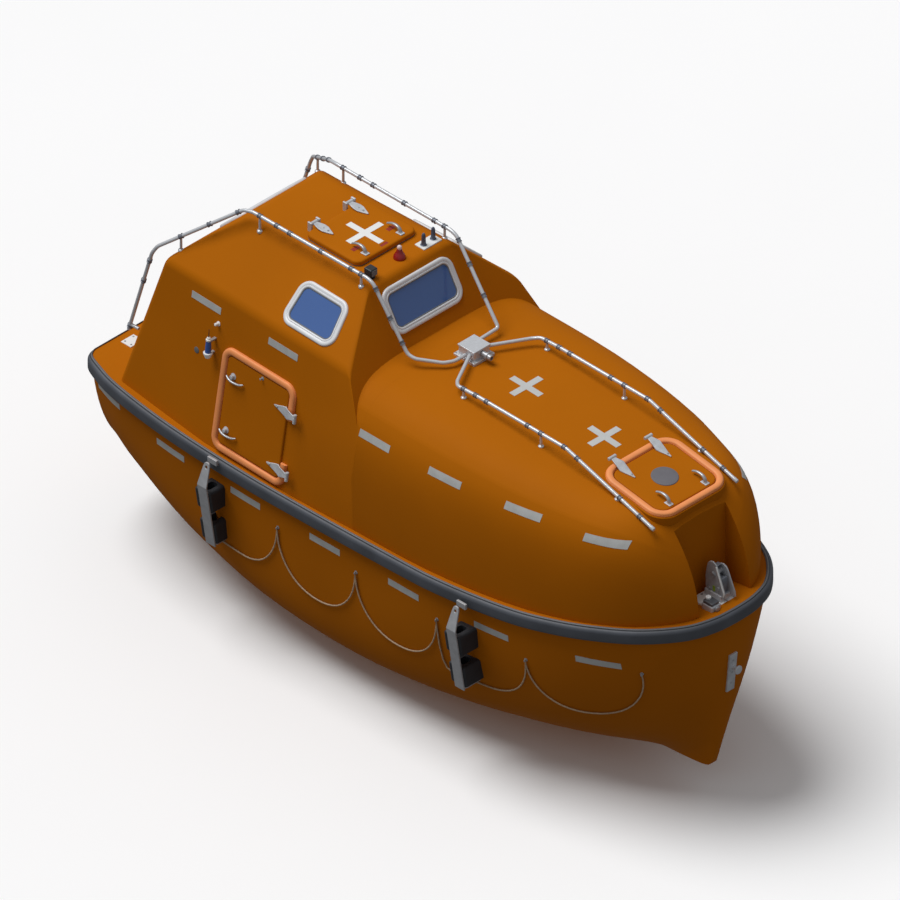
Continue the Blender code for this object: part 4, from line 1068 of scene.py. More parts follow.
def hinge_arm(name, place, u_out, v, side, turn=1):
    """A tapered hinge arm: knuckle over the seal, pointed plate on the leaf. turn 1 has the knuckle at +u."""
    rings = []
    for base in (0.0, ARM_THICK):
        ring = []
        for u, w in mirrored(ARM_EDGE, u_out, v, -turn):
            reach = abs(u - u_out)
            height = DOOR_SWING - 0.006 if reach < ARM_STEP[0] else LEAF_THICK + 0.001
            if ARM_STEP[0] <= reach < ARM_STEP[1]:
                height = LEAF_THICK + 0.012
            ring.append(tuple(over(place, side, u, w, height + base)))
        rings.append(ring)
    low, high = (over(place, side, u_out, v + d, DOOR_SWING) for d in (-0.036, 0.036))
    parts = [
        soften(from_rings(name, rings, CAST_GREY), 0.0025, 2),
        turned("knuckle", low, high - low, KNUCKLE, CAST_GREY, sides=20),
    ]
    for reach in ARM_BOLTS:
        spot = over(place, side, u_out - turn * reach, v, LEAF_THICK + 0.010)
        parts.append(bolt(spot, way_out(place, side), 0.006))
    return parts


def hook_handle(place, u, v, side):
    """A crescent pull handle, on a round boss by a short web."""
    path = curve_path([over(place, side, u + du, v + dv, n) for du, dv, n in HANDLE_CURVE])
    last = len(path) - 1
    radii = [0.0095 * min(1.0, 0.45 + 4 * min(k, last - k) / last) for k in range(last + 1)]
    foot = over(place, side, u, v, LEAF_THICK - 0.001)
    normal = over(place, side, u, v, LEAF_THICK) - foot
    web = [over(place, side, u, v, 0.030), over(place, side, u - 0.004, v - 0.030, 0.038)]
    return [
        sweep("grip", path, radii, STEEL, sides=12, flat=0.8), sweep("web", web, 0.0085, STEEL, sides=12),
        turned("boss", foot, normal, HANDLE_BOSS, CAST_GREY, sides=20),
    ]


def lever(place, u, v, face):
    """A lever handle: a foot plate at u, v on a lid's face, and an arched grip that runs aft from it."""
    path = curve_path([over(place, -1, u + du, v + dv, face + n) for du, dv, n in LEVER_CURVE])
    last = len(path) - 1
    radii = [0.0150 - 0.0055 * k / last for k in range(last + 1)]
    sole = [(u - 0.026, v - 0.024), (u + 0.030, v - 0.020), (u + 0.030, v + 0.020), (u - 0.026, v + 0.024)]
    base = [over(place, -1, u, v, face + 0.004), over(place, -1, u - 0.002, v, face + 0.020)]
    return [
        plate("sole", place, sole, 0.008, CAST_GREY, face, 0.003),
        sweep("neck", base, [0.020, 0.013], CAST_GREY, sides=16),
        sweep("grip", path, radii, STEEL, sides=14, flat=0.75),
    ]


def build_door(word, side):
    place = wall_frame()
    long = (DOOR_FORE - DOOR_AFT) / 2
    door = doorway()
    seal = stack(f"door_gasket_{word}", *door, seal_levels(), SEAL_SALMON, ring=True, side=side, sharp=60)
    inner, outer = long - 0.08, long + 0.03
    low, high = (v + d for v, d in zip(HINGE_UP, SEAL_STOP))
    notch = [(inner, low), (outer, low), (outer, high), (inner, high)]
    carve(seal, [stack("notch", place, notch, 0.004, ((0, -0.02), (0, 0.06)), side=side)], sharp=60)
    done(seal, "boat", f"door_seal_{word}", slot="seal_rubber")
    leaf = stack(f"door_leaf_{word}", *door, leaf_levels(), GELCOAT, side=side, sharp=50)
    done(leaf, f"door_{word}", f"door_{word}", slot="orange_gelcoat")
    parts = []
    for v in HINGE_UP:
        parts += hinge_arm("hinge_plate", place, long + HINGE_OUT, v, side)
    for v in HANDLE_UP:
        parts += hook_handle(place, -long + 0.135, v, side)
    stud = mm((0, 14), (3, 14), (6, 6), (20, 6), (26, 9), (31, 0))
    foot = over(place, side, 0.04, 0.33, LEAF_THICK - 0.001)
    parts.append(turned("stud", foot, way_out(place, side), stud, STEEL, sides=16))
    done(merged(f"door_fittings_{word}", parts), f"door_{word}", f"door_{word}", slot="stainless_steel")


# Inward from the hatchway's edge, and up: the lid and its dark line. Then the arm's reach and half breadth.
ROOF_LID = mm((65, -30), (65, 1), (4, 1), (4, 8), (0, 8.5), (0, 28), (2, 34), (7, 39), (16, 41.5), (50, 42.5))
ROOF_LID_TOP = 0.0425
ROOF_LID_LINE = mm((3.5, 1.5), (0, 3), (0, 6), (3.5, 7.5), (12, 7.5), (12, 1.5))
ROOF_ARM = mm((0, 16), (30, 24), (75, 36), (110, 35), (145, 22), (190, 4))
ROOF_ARM_Y = (-0.175, 0.175)
ROOF_HINGE_PIN = mm((0, 0), (0, 12), (3, 14.5), (59, 14.5), (62, 12), (62, 0))
# The white cross's outline in steps of its half width (1) and its arm (2), and what those steps are.
CROSS_STEPS = (
    (-1, -2), (1, -2), (1, -1), (2, -1), (2, 1), (1, 1), (1, 2), (-1, 2), (-1, 1), (-2, 1), (-2, -1), (-1, -1),
)
CROSS_SIZE = {1: 0.026, 2: 0.165}
# The red marks: aft end, fore end, starboard edge and height over the lid.
ROOF_MARKS = ((0.105, 0.142, -0.215, 0.0), (0.105, 0.142, 0.135, 0.0), (0.213, 0.238, -0.035, -0.001))


def roof_arm(x, y, heel):
    """A pointed hinge arm from its pin over the lid's edge onto the lid."""
    rings = []
    for base in (0.0, 0.010):
        ring = []
        for u, v in mirrored(ROOF_ARM, heel, 0, 1):
            h = 0.050
            if u >= 0.02 - ROOF_HATCH[1]:
                h = ROOF_LID_TOP + 0.001 + 0.012 * max(0.0, (-0.15 - u) / 0.15)
            ring.append((x + u, y + v, ROOF + h + base))
        rings.append(ring)
    return soften(from_rings("arm", rings, CAST_GREY), 0.003, 2)


def build_roof_hatch():
    x, half_x, _ = ROOF_HATCH
    place = roof_frame()
    hatch = roof_hatchway()
    lid = stack("roof_hatch_lid", *hatch, ROOF_LID, GELCOAT, sharp=50)
    done(lid, "roof_hatch", "roof_hatch", slot="orange_gelcoat")
    line = stack("roof_hatch_gasket", *hatch, ROOF_LID_LINE, GASKET, ring=True)
    done(line, "roof_hatch", slot="black_plastic")
    parts, lugs = [], []
    heel = -half_x - 0.03
    for y in ROOF_ARM_Y:
        parts.append(roof_arm(x, y, heel))
        pin = (x + heel, y - 0.031, ROOF + 0.055)
        parts.append(turned("pin", pin, TO_PORT, ROOF_HINGE_PIN, CAST_GREY, sides=20))
        for u in (-0.20, -0.155):
            parts.append(bolt((x + u, y, ROOF + ROOF_LID_TOP + 0.012), UP, 0.006))
        parts += lever(place, 0.212, y, ROOF_LID_TOP - 0.001)
    done(merged("roof_hatch_fittings", parts), "roof_hatch", "roof_hatch", slot="stainless_steel")
    shape = []
    for u, v in CROSS_STEPS:
        shape.append((0.035 + math.copysign(CROSS_SIZE[abs(u)], u), math.copysign(CROSS_SIZE[abs(v)], v)))
    cross = layered("roof_cross", place, shape, (ROOF_LID_TOP + 0.0002, ROOF_LID_TOP + 0.0014), WHITE)
    done(cross, "roof_hatch", slot="orange_gelcoat")
    marks = []
    for aft, fore, y, up in ROOF_MARKS:
        shape = ((aft, y), (fore, y), (fore, y + 0.070), (aft, y + 0.070))
        marks.append(plate("mark", place, shape, 0.001, MARK_RED, ROOF_LID_TOP + up, 0.0003))
    done(merged("roof_marks", marks), "roof_hatch", slot="orange_gelcoat")
    for y in ROOF_ARM_Y:
        for d in (-0.040, 0.040):
            low = (x - half_x - 0.05, y + d - 0.008, ROOF - 0.01)
            high = (x - half_x - 0.01, y + d + 0.008, ROOF + 0.075)
            lugs.append(rounded_box("lug", low, high, CAST_GREY))
    done(merged("roof_hinge_lugs", lugs), "boat", slot="stainless_steel")


FORE_DISC = mm((0, 100), (4, 100), (7, 97), (8, 90), (8, 0))


def build_fore_hatch():
    half_x = FORE_HATCH[1]
    place = fore_frame()
    hatch = fore_hatchway()
    seal = stack("fore_hatch_gasket", *hatch, seal_levels(), SEAL_SALMON, ring=True, sharp=60)
    done(seal, "boat", "fore_hatch_seal", slot="seal_rubber")
    lid = stack("fore_hatch_leaf", *hatch, leaf_levels(), GELCOAT, sharp=50)
    done(lid, "fore_hatch", "fore_hatch", slot="orange_gelcoat")
    parts = []
    for y in FORE_ARM_Y:
        parts += hinge_arm("hinge_plate", place, -half_x - FORE_HINGE_OUT, y, -1, turn=-1)
        parts += lever(place, 0.222, y, LEAF_THICK - 0.001)
    done(merged("fore_hatch_fittings", parts), "fore_hatch", "fore_hatch", slot="stainless_steel")
    spot = over(place, -1, 0, 0, LEAF_THICK - 0.001)
    disc = turned("fore_hatch_disc", spot, way_out(place, -1), FORE_DISC, DISC_GREY, sides=48)
    done(disc, "fore_hatch", slot="black_plastic")


# Pieces laid on the skins

SEAM_NUDGES = (Vector((0.0004, 0.0003, 0.0005)), Vector((-0.0003, -0.0005, -0.0004)))


class Skin:
    """The skins' surfaces, to lay tapes on and to stand feet on."""

    def __init__(self, *pieces):
        verts, faces = [], []
        graph = bpy.context.evaluated_depsgraph_get()
        for piece in pieces:
            mesh = piece.evaluated_get(graph).to_mesh()
            start = len(verts)
            verts += [piece.matrix_world @ v.co for v in mesh.vertices]
            mesh.calc_loop_triangles()
            faces += [[start + i for i in t.vertices] for t in mesh.loop_triangles]
        self.tree = BVHTree.FromPolygons(verts, faces)

    def hit(self, start, way):
        """The first place on the way. A ray just along a seam slips through, so two beside it count too."""
        place, normal, _, far = self.tree.ray_cast(Vector(start), Vector(way))
        for nudge in SEAM_NUDGES:
            beside, its_normal, _, near = self.tree.ray_cast(Vector(start) + nudge, Vector(way))
            if beside is not None and (place is None or near < far - 0.003):
                place, normal, far = beside, its_normal, near
        if place is None:
            raise ValueError(f"no skin on the way from {start}")
        return place, normal if normal.dot(Vector(way)) < 0 else -normal


SHEET_LIFT = 0.0006
SHEET_THICK = 0.0012
SHEET_FINE = 0.016


def laid_sheet(name, skin, corners, way, look):
    """A thin sheet over the skin. corners are four points, and way is the direction they are pushed in."""
    a, b, c, d = [Vector(p) for p in corners]
    across = max(2, int((b - a).length / SHEET_FINE))
    rise = max(2, int((d - a).length / SHEET_FINE))
    laid = []
    for i in range(rise + 1):
        for j in range(across + 1):
            u, v = j / across, i / rise
            laid.append(skin.hit(a * (1 - u) * (1 - v) + b * u * (1 - v) + c * u * v + d * (1 - u) * v, way))
    levels = (SHEET_LIFT - 0.001, SHEET_LIFT + SHEET_THICK)
    places = [place + normal * level for level in levels for place, normal in laid]
    wide = across + 1
    size = len(laid)
    faces = []
    for i in range(rise):
        for j in range(across):
            q = [i * wide + j, i * wide + j + 1, (i + 1) * wide + j + 1, (i + 1) * wide + j]
            faces += [[size + k for k in q], q[::-1]]
    edge = list(range(across)) + [i * wide + across for i in range(rise)]
    edge += [rise * wide + across - j for j in range(across)] + [(rise - i) * wide for i in range(rise)]
    for here, there in zip(edge, edge[1:] + edge[:1]):
        faces.append([here, there, size + there, size + here])
    mesh = bpy.data.meshes.new(name)
    mesh.from_pydata(places, [], faces)
    tidy_mesh(mesh)
    return new_object(name, mesh, look, 50)


# Reflective tapes: the middle's x and z, on the canopy and on the hull.
CANOPY_TAPES = ((-1.65, 1.72), (-0.86, 1.725), (0.17, 1.51), (0.85, 1.52), (1.54, 1.53), (2.18, 1.50))
HULL_TAPES = (
    (-2.55, 0.50), (-1.82, 0.456), (-1.03, 0.46), (-0.235, 0.46), (0.547, 0.46), (1.367, 0.485), (2.19, 0.505),
)
TAPE_HALF = Vector((0.15, 0, 0.027))
DECK_CROSSES = (0.728, 1.505)
CROSS_HALF = 0.145
CROSS_WIDE = 0.027
DOWN = Vector((0, 0, -1))
# Where rays towards a side, the deck and the cabin's starboard wall start.
BESIDE = 1.7
OVERHEAD = 2.5
OFF_WALL = -1.5


def build_tapes(canopy, hull):
    """Tapes and crosses, in one piece for each carrier and side."""
    for word, side in SIDES.items():
        start = side * BESIDE
        for name, skin, rows in (("canopy", canopy, CANOPY_TAPES), ("hull", hull, HULL_TAPES)):
            sheets = []
            for x, z in rows:
                corners = []
                for a, b in ((-1, -1), (1, -1), (1, 1), (-1, 1)):
                    corners.append((x + a * TAPE_HALF.x, start, z + b * TAPE_HALF.z))
                sheets.append(laid_sheet("tape", skin, corners, (0, -side, 0), TAPE))
            done(merged(f"tapes_{name}_{word}", sheets), "boat", slot="white_liner")
    sheets = []
    for x in DECK_CROSSES:
        a, w = CROSS_HALF, CROSS_WIDE
        for x0, x1, y0, y1 in ((x - w, x + w, -a, a), (x - a, x - w, -w, w), (x + w, x + a, -w, w)):
            corners = [(x2, y2, OVERHEAD) for x2, y2 in ((x0, y0), (x1, y0), (x1, y1), (x0, y1))]
            sheets.append(laid_sheet("cross", canopy, corners, DOWN, CROSS_GREY))
    done(merged("deck_crosses", sheets), "boat", slot="white_liner")


# The spray pipes

PIPE_R = 0.014
PIPE_Y = 0.415
ROOF_RUN = (
    (-2.46, -0.77, 1.07), (-2.21, -0.79, 1.86), (-2.17, -0.775, 1.93), (-1.66, -0.43, 2.325),
    (-1.58, -PIPE_Y, 2.34), (-0.44, -PIPE_Y, 2.34), (-0.38, -PIPE_Y, 2.32),
)
ROOF_ENDS = {
    "starboard": (
        (-0.04, -PIPE_Y, 1.885), (0.02, -0.40, 1.865), (0.17, -0.27, 1.84), (0.21, -0.20, 1.84),
        (0.21, -0.09, 1.84),
    ),
    "port": ((0.155, -0.295, 1.855), (0.15, -0.085, 1.84)),
}
DECK_RUN = (
    (0.24, -0.07, 1.85), (0.41, -0.37, 1.852), (0.46, -PIPE_Y, 1.860), (0.66, -PIPE_Y, 1.868),
    (1.54, -PIPE_Y, 1.862), (2.41, -PIPE_Y, 1.597),
)
PIPE_BEND = 0.025
ROOF_CLAMPS = (-2.30, -2.235, -2.03, -1.86, -1.69, -1.51, -1.34, -1.21, -0.90, -0.60, -0.50, -0.355, -0.215)
LAST_CLAMP = {"starboard": -0.095, "port": -0.032}
ROOF_FEET = (-2.03, -1.51, -0.50)
DECK_CLAMPS = (0.52, 0.64, 0.75, 1.157, 1.29, 1.52, 1.65, 2.073, 2.272)
DECK_FEET = (0.52, 1.29, 2.05)
# The closed end's cap, and the roof pipe's heel on the cabin's aft wall.
PIPE_CAP = ((-0.03, PIPE_R), (-0.03, PIPE_R + 0.002), (0.0, PIPE_R + 0.002), (0.004, PIPE_R))
PIPE_HEEL = mm((0, 12), (90, 12), (90, 0))


def spot_at(path, x):
    """The place where a path passes x, and its way there."""
    for a, b in zip(path, path[1:]):
        if b.x - a.x > 1e-6 and a.x <= x <= b.x:
            return a + (b - a) * ((x - a.x) / (b.x - a.x)), (b - a).normalized()
    raise ValueError(f"the path does not reach {x}")


def coupling(place, way):
    """A dark pipe coupling with a rib at each end."""
    r = PIPE_R
    profile = (
        (0, r - 0.002), (0, r + 0.006), (0.006, r + 0.006), (0.008, r + 0.0025), (0.022, r + 0.0025),
        (0.024, r + 0.006), (0.030, r + 0.006), (0.030, r - 0.002),
    )
    return turned("coupling", place - way * 0.015, way, profile, COUPLING_GREY, sides=20)


def pipe_foot(skin, place):
    """A post on a round base, from the skin straight up to the pipe."""
    base, _ = skin.hit(place + Vector((0, 0, 0.02)), DOWN)
    tall = place.z - base.z
    post = ((-0.008, 0.021), (0.006, 0.021), (0.009, 0.018), (0.014, 0.01), (tall, 0.009), (tall + 0.004, 0))
    return turned("foot", base, UP, post, PIPE_LIGHT, sides=16)


def pipe_run(skin, run, side, clamps, feet):
    """A bent pipe with its couplings and feet: its path, and its pieces."""
    path = bend_path(flip(run, side), PIPE_BEND)
    parts = [sweep("pipe", path, PIPE_R, PIPE_LIGHT, sides=18)]
    parts += [coupling(*spot_at(path, x)) for x in clamps]
    parts += [pipe_foot(skin, spot_at(path, x)[0]) for x in feet]
    return path, parts


def build_pipes(skin):
    for word, side in SIDES.items():
        clamps = (*ROOF_CLAMPS, LAST_CLAMP[word])
        path, parts = pipe_run(skin, ROOF_RUN + ROOF_ENDS[word], side, clamps, ROOF_FEET)
        x, y, z = path[0]
        parts.append(turned("heel", (x + 0.10, y, z + 0.05), ASTERN, PIPE_HEEL, PIPE_LIGHT))
        parts.append(coupling(*spot_at(path, x + 0.012)))
        done(merged(f"roof_pipe_run_{word}", parts), "boat", f"roof_pipe_{word}", slot="spray_pipe")
        path, parts = pipe_run(skin, DECK_RUN, side, DECK_CLAMPS, DECK_FEET)
        way = (path[-1] - path[-2]).normalized()
        parts.append(turned("pipe_end", path[-1], way, PIPE_CAP, PIPE_LIGHT, sides=20))
        done(merged(f"foredeck_pipe_run_{word}", parts), "boat", f"foredeck_pipe_{word}", slot="spray_pipe")


# From the skin forward: the stub with its collar and mouth.
MANIFOLD_STUB = mm(
    (0, 21), (45, 21), (46, 28), (60, 28), (62, 22), (90, 22), (93, 19), (93, 14), (70, 13), (70, 0),
)
MANIFOLD_FLANGE = 1.814
MANIFOLD_LOW = Vector((0.125, -0.0835, 1.765))
MANIFOLD_HIGH = Vector((0.292, 0.0835, 1.884))


def build_manifold():
    """The box where the runs meet: flange, body, lid with bolts, and the filling stub."""
    low, high = MANIFOLD_LOW, MANIFOLD_HIGH
    edge = Vector((0.02, 0.02, 0))
    parts = [
        rounded_box("flange", low - edge, (high.x + 0.02, high.y + 0.02, MANIFOLD_FLANGE), PIPE_LIGHT, 0.004),
        rounded_box("body", low + edge * 0.2, high - edge * 0.2, PIPE_LIGHT, 0.010),
        rounded_box("lid", (low.x, low.y, high.z - 0.008), high + Vector((0, 0, 0.0078)), PIPE_LIGHT, 0.003),
    ]
    for sx in (0, 1):
        for sy in (0, 1):
            x = low.x - 0.008 + sx * (high.x - low.x + 0.016)
            y = low.y - 0.008 + sy * (high.y - low.y + 0.016)
            parts.append(bolt((x, y, MANIFOLD_FLANGE), UP, 0.0055))
    parts.append(turned("stub", (0.290, 0, 1.85), AHEAD, MANIFOLD_STUB, STEEL, sides=24))
    done(merged("manifold", parts), "boat", "manifold_box", slot="spray_pipe")


# Lifting and towing

# Forward and up from the hook's foot: a cheek's outline, the jaw's and the white bar's bends.
HOOK_SIDE = mm(
    (-75, 0), (98, 0), (110, 40), (104, 85), (36, 262), (18, 290), (-10, 304), (-40, 298), (-62, 274),
    (-73, 235), (-85, 160), (-85, 80),
)
HOOK_JAW = mm(
    (-50, 20), (55, 20), (72, 140), (60, 180), (10, 165), (-10, 185), (-20, 230), (10, 262), (-30, 262),
    (-60, 225), (-62, 120),
)
HOOK_BAR = mm((24, 272), (101, 78), (94, 52))
# Each pin's place forward and up, and its radius.
HOOK_PINS = mm((-5, 200, 20), (45, 100, 13), (-45, 70, 11))
# Each cheek's y from the middle, how much lower it ends and how far ahead it stands.
HOOK_CHEEKS = mm((-46, 0, 0), (34, 45, 22))
HOOK_DIAL = mm((0, 18), (5, 21), (16, 21), (20, 16), (20, 0))
HOOK_TALL = 0.304
HOOK_OFF = 0.042
HOOKS = {"fore": 2.60, "aft": -2.62}


def upright(name, points, breadth, look, width):
    """A flat body that stands along the boat between two y. points lists x and z."""
    rings = [[(x, y, z) for x, z in points] for y in breadth]
    return soften(from_rings(name, rings, look), width, 2)


def build_hook(word, x, turn):
    """Bolted base, cheeks with the hook between them, and the release gear. turn 1 faces forward."""
    z = deck_z(x) + 0.012
    mid = HOOK_OFF * turn
    parts = [rounded_box("base", (x - 0.11, -0.125, z - 0.02), (x + 0.11, 0.125, z), WHITE, 0.004)]
    for sx in (-0.09, 0.09):
        parts += [bolt((x + sx, y, z), UP, 0.0065) for y in (-0.105, -0.035, 0.035, 0.105)]
    low, high = (x - 0.085, mid - 0.058, z - 0.002), (x + 0.080, mid + 0.062, z + 0.050)
    parts.append(rounded_box("seat", low, high, CAST_GREY, 0.006))
    for y, lower, ahead in HOOK_CHEEKS:
        cheek = []
        for u, v in HOOK_SIDE:
            cheek.append((x + ahead * turn + u * turn, z - 0.002 + max(0.03, v - lower * v / HOOK_TALL)))
        parts.append(upright("cheek", cheek, (mid + y, mid + y + 0.012), STRAP_GREY, 0.003))
    jaw = [(x + u * turn, z + v) for u, v in HOOK_JAW]
    parts.append(upright("jaw", jaw, (mid - 0.026, mid + 0.026), COUPLING_GREY, 0.004))
    for u, v, r in HOOK_PINS:
        pin = ((0, r * 0.7), (0.002, r), (0.110, r), (0.112, r * 0.7))
        parts.append(turned("pin", (x + u * turn, mid - 0.058, z + v), TO_PORT, pin, STEEL, sides=24))
    bar = bend_path([(x + u * turn, mid - 0.046, z + v) for u, v in HOOK_BAR], 0.02)
    parts.append(sweep("bar", bar, 0.0065, WHITE, sides=12))
    low, high = (x - 0.010, mid - 0.050, z + 0.058), (x + 0.014, mid - 0.044, z + 0.102)
    parts.append(rounded_box("mark", low, high, MARK_GREEN, 0.002))
    aft = x + 0.020 if turn > 0 else x - 0.110
    floor = deck_z(aft + 0.05)
    low, high = (aft, -0.150, floor - 0.01), (aft + 0.108, -0.062, floor + 0.048)
    parts.append(rounded_box("gear", low, high, CAST_GREY, 0.008))
    low, high = (aft + 0.008, -0.146, floor + 0.046), (aft + 0.100, -0.068, floor + 0.072)
    parts.append(rounded_box("cover", low, high, DARK_STEEL, 0.008))
    parts.append(turned("dial", (aft + 0.106, -0.106, floor + 0.026), AHEAD, HOOK_DIAL, STEEL, sides=24))
    parts.append(turned("knob", (aft + 0.026, -0.106, floor + 0.070), UP, HOOK_DIAL, WHITE, sides=24))
    done(merged(f"hook_{word}_pieces", parts), "boat", f"hook_{word}", slot="stainless_steel")


# The tow plate lies along the stem: its outer face's x and z, low and high.
TOW_FACE = ((2.762, 0.178), (2.797, 0.508))
TOW_CORNERS = mm((24, -37.5), (0, -37.5), (0, 37.5), (24, 37.5))
TOW_PIN = 0.393
TOW_BOLTS = (0.248, 0.345, 0.452)
TOW_PIN_SHAPE = mm(
    (-4, 30), (4, 30), (7, 18.5), (44, 17.5), (46, 29), (49, 33.5), (58, 34), (62, 31), (63, 24), (63, 0),
)


def build_tow_plate():
    (low_x, low), (high_x, high) = TOW_FACE
    lean = Vector((high - low, 0, low_x - high_x)).normalized()

    def face_at(z):
        return low_x + (high_x - low_x) * (z - low) / (high - low)

    rings = []
    for x, z in TOW_FACE:
        rings.append([(x - d, y, z) for d, y in TOW_CORNERS])
    parts = [soften(from_rings("plate", rings, CAST_GREY), 0.003, 2)]
    for z in TOW_BOLTS:
        parts.append(bolt((face_at(z) - 0.001, 0, z), lean, 0.0055))
    parts.append(turned("pin", (face_at(TOW_PIN), 0, TOW_PIN), AHEAD, TOW_PIN_SHAPE, PIPE_LIGHT))
    done(merged("tow_pieces", parts), "boat", "tow_plate", slot="stainless_steel")


# The launching side's skates

SKATES = {"aft": -1.295, "fore": 1.185}
SKATE_OUT = -1.20
STRAP_LOW = -0.035
STRAP_SHOULDER = 0.515
STRAP_LEAN = 0.090
STRAP_THICK = 0.012
BLOCK_AFT = 0.100
BLOCK_FORE = 0.055
BLOCK_BACK = -0.91
BLOCKS = {"upper": (0.27, 0.455), "lower": (-0.02, 0.165)}


def strap_y(z):
    """The strap's back at a height: it leans inward from the shoulder down."""
    return SKATE_OUT + STRAP_LEAN * (STRAP_SHOULDER - z) / (STRAP_SHOULDER - STRAP_LOW)


# Down the strap: its half width, and its back face's y and z.
STRAP = (
    (0.008, -1.1445, 0.690), (0.020, -1.1465, 0.684), (0.027, -1.150, 0.670), (0.031, -1.156, 0.650),
    (0.045, SKATE_OUT, STRAP_SHOULDER), (0.045, strap_y(0.508), 0.508), (0.045, strap_y(-0.034), -0.034),
)
STRAP_BOLTS = ((-0.012, 0.488), (0.010, 0.355), (-0.010, 0.135), (0.012, -0.008))
STRAP_SLOPE = 0.1636


def build_strap(place, x):
    rings = []
    for half, y, z in STRAP:
        corners = ((-half, 0), (half, 0), (half, -STRAP_THICK), (-half, -STRAP_THICK))
        rings.append([(x + u, y + v, z) for u, v in corners])
    strap = from_rings("strap", rings, STRAP_GREY)
    eye = ((0, 0.012), (0.2, 0.012))
    carve(strap, [turned("eye_hole", (x, -1.25, 0.655), TO_PORT, eye, STEEL, sides=24)])
    parts = [soften(strap, 0.002, 2)]
    for u, z in STRAP_BOLTS:
        parts.append(bolt((x + u, strap_y(z) - 0.0085, z), (0, -1, -STRAP_SLOPE), 0.0042))
    toe = bend_path([(x + 0.02, -1.105, -0.027), (x + 0.025, -1.07, -0.034), (x + 0.03, -0.95, -0.026)], 0.02)
    parts.append(sweep("toe", toe, 0.008, STEEL, sides=10))
    low, high = (x - 0.045, -1.110, 0.655), (x + 0.045, -1.090, 0.700)
    parts.append(rounded_box("gunwale_pad", low, high, STRAP_GREY, 0.003))
    done(merged(f"skate_strap_pieces_{place}", parts), "boat", f"skate_strap_{place}", slot="stainless_steel")


def build_block(name, x, heights):
    """A rubber block on the strap's back, with a hollow in its upper end."""
    aft, fore = x - BLOCK_AFT, x + BLOCK_FORE
    rings = []
    for z in heights:
        face = strap_y(z) + GAP
        rings.append([(aft, face, z), (fore, face, z), (fore, BLOCK_BACK, z), (aft, BLOCK_BACK, z)])
    block = from_rings(name + "_rubber", rings, SKATE_RUBBER)
    high, face = heights[1], strap_y(heights[1])
    low_end, high_end = (x - 0.055, face + 0.035, high - 0.10), (x + 0.012, face + 0.14, high + 0.05)
    hollow = soften(box("hollow", low_end, high_end, SKATE_RUBBER), 0.025, 4)
    soften(block, 0.022, 4)
    baked(block)
    carve(block, [hollow], sharp=40)
    done(block, "boat", name, slot="skate_rubber")


def build_skates():
    for place, x in SKATES.items():
        build_strap(place, x)
        for level, heights in BLOCKS.items():
            build_block(f"skate_block_{place}_{level}", x, heights)


# The grab lines

ROPE_R = 0.006
ANCHORS = ((-1.48, 0.375), (-0.70, 0.375), (0.077, 0.375), (0.87, 0.360), (1.65, 0.350), (2.45, 0.450))
SWAG = 0.435
SKATE_SWAG = 0.43
SWAG_STEPS = 24
EYE_BASE = mm((-4, 14), (3, 14), (5, 8), (18, 7), (20, 0))


def sag_at(t, by_skate):
    """How far the rope hangs, with t from eye to eye. Beside a skate it drops at once, to pass below."""
    across = abs(2 * t - 1)
    if by_skate and t < 0.5:
        return SKATE_SWAG * (1 - across ** 20)
    return (SKATE_SWAG if by_skate else SWAG) * (1 - across ** 2.2) ** 0.5


def build_lifelines(skin):
    for word, side in SIDES.items():

        def on_hull(x, z):
            return skin.hit((x, side * BESIDE, z), (0, -side, 0))

        route = []
        for (a, high), (b, next_high) in zip(ANCHORS, ANCHORS[1:]):
            by_skate = word == "starboard" and any(a < x < b for x in SKATES.values())
            for k in range(SWAG_STEPS + (b == ANCHORS[-1][0])):
                t = 0.5 - 0.5 * math.cos(math.pi * k / SWAG_STEPS)
                place, normal = on_hull(a + t * (b - a), high + t * (next_high - high) - sag_at(t, by_skate))
                route.append(place + normal * (ROPE_R + 0.005))
        parts = [sweep("rope", route, ROPE_R, ROPE, sides=8)]
        for x, z in ANCHORS:
            place, normal = on_hull(x, z)
            parts.append(turned("eye_base", place, normal, EYE_BASE, STEEL, sides=16))
            parts.append(ring_body("eye", place + normal * 0.012, AHEAD, 0.009, 0.0035, STEEL, 20, 8))
        done(merged(f"lifeline_rope_{word}", parts), "boat", f"lifeline_{word}", slot="lifeline_rope")


# On the roof and the wall

# Turned pieces: the distance from the foot, and the radius.
BEACON_X = -0.535
BEACON_BASE = mm((0, 45), (8, 46), (18, 45), (32, 40), (46, 31), (58, 24), (72, 20.5), (78, 18), (78, 0))
BEACON_DOME = mm((0, 10), (6, 14.5), (12, 17), (20, 18), (28, 16.5), (34, 12), (37.5, 6), (38.5, 0))
POSTS = ((-0.52, 0.225), (-0.525, 0.325))
POST = mm((0, 24), (4, 24), (7, 18), (40, 16.5), (80, 14.5), (94, 11.5), (101, 6), (103, 0))
LAMP_FOOT = mm((0, 30), (16, 30), (18, 15), (35, 13), (35, 0))
CAN_AT = Vector((-1.52, -0.925, 1.365))
CAN_UP = Vector((0, 0.010, 0.170))
CAN_BASE = mm((0, 6), (6, 20), (20, 26), (36, 27), (38, 34), (47, 34), (49, 26), (49, 0))
CAN = mm((47, 0), (47, 22.5), (100, 21.5), (148, 17.5), (148, 0))
CAN_COLLAR = mm((146, 0), (146, 20), (158, 20), (160, 14), (172, 12), (175, 0))
CAN_BRACKETS = (1.395, 1.50)
MARKER = mm((-4, 18), (4, 18), (6, 13), (34, 11), (38, 7), (38, 0))
SPOT = mm((-4, 24), (2, 24), (3, 22), (3, 0))


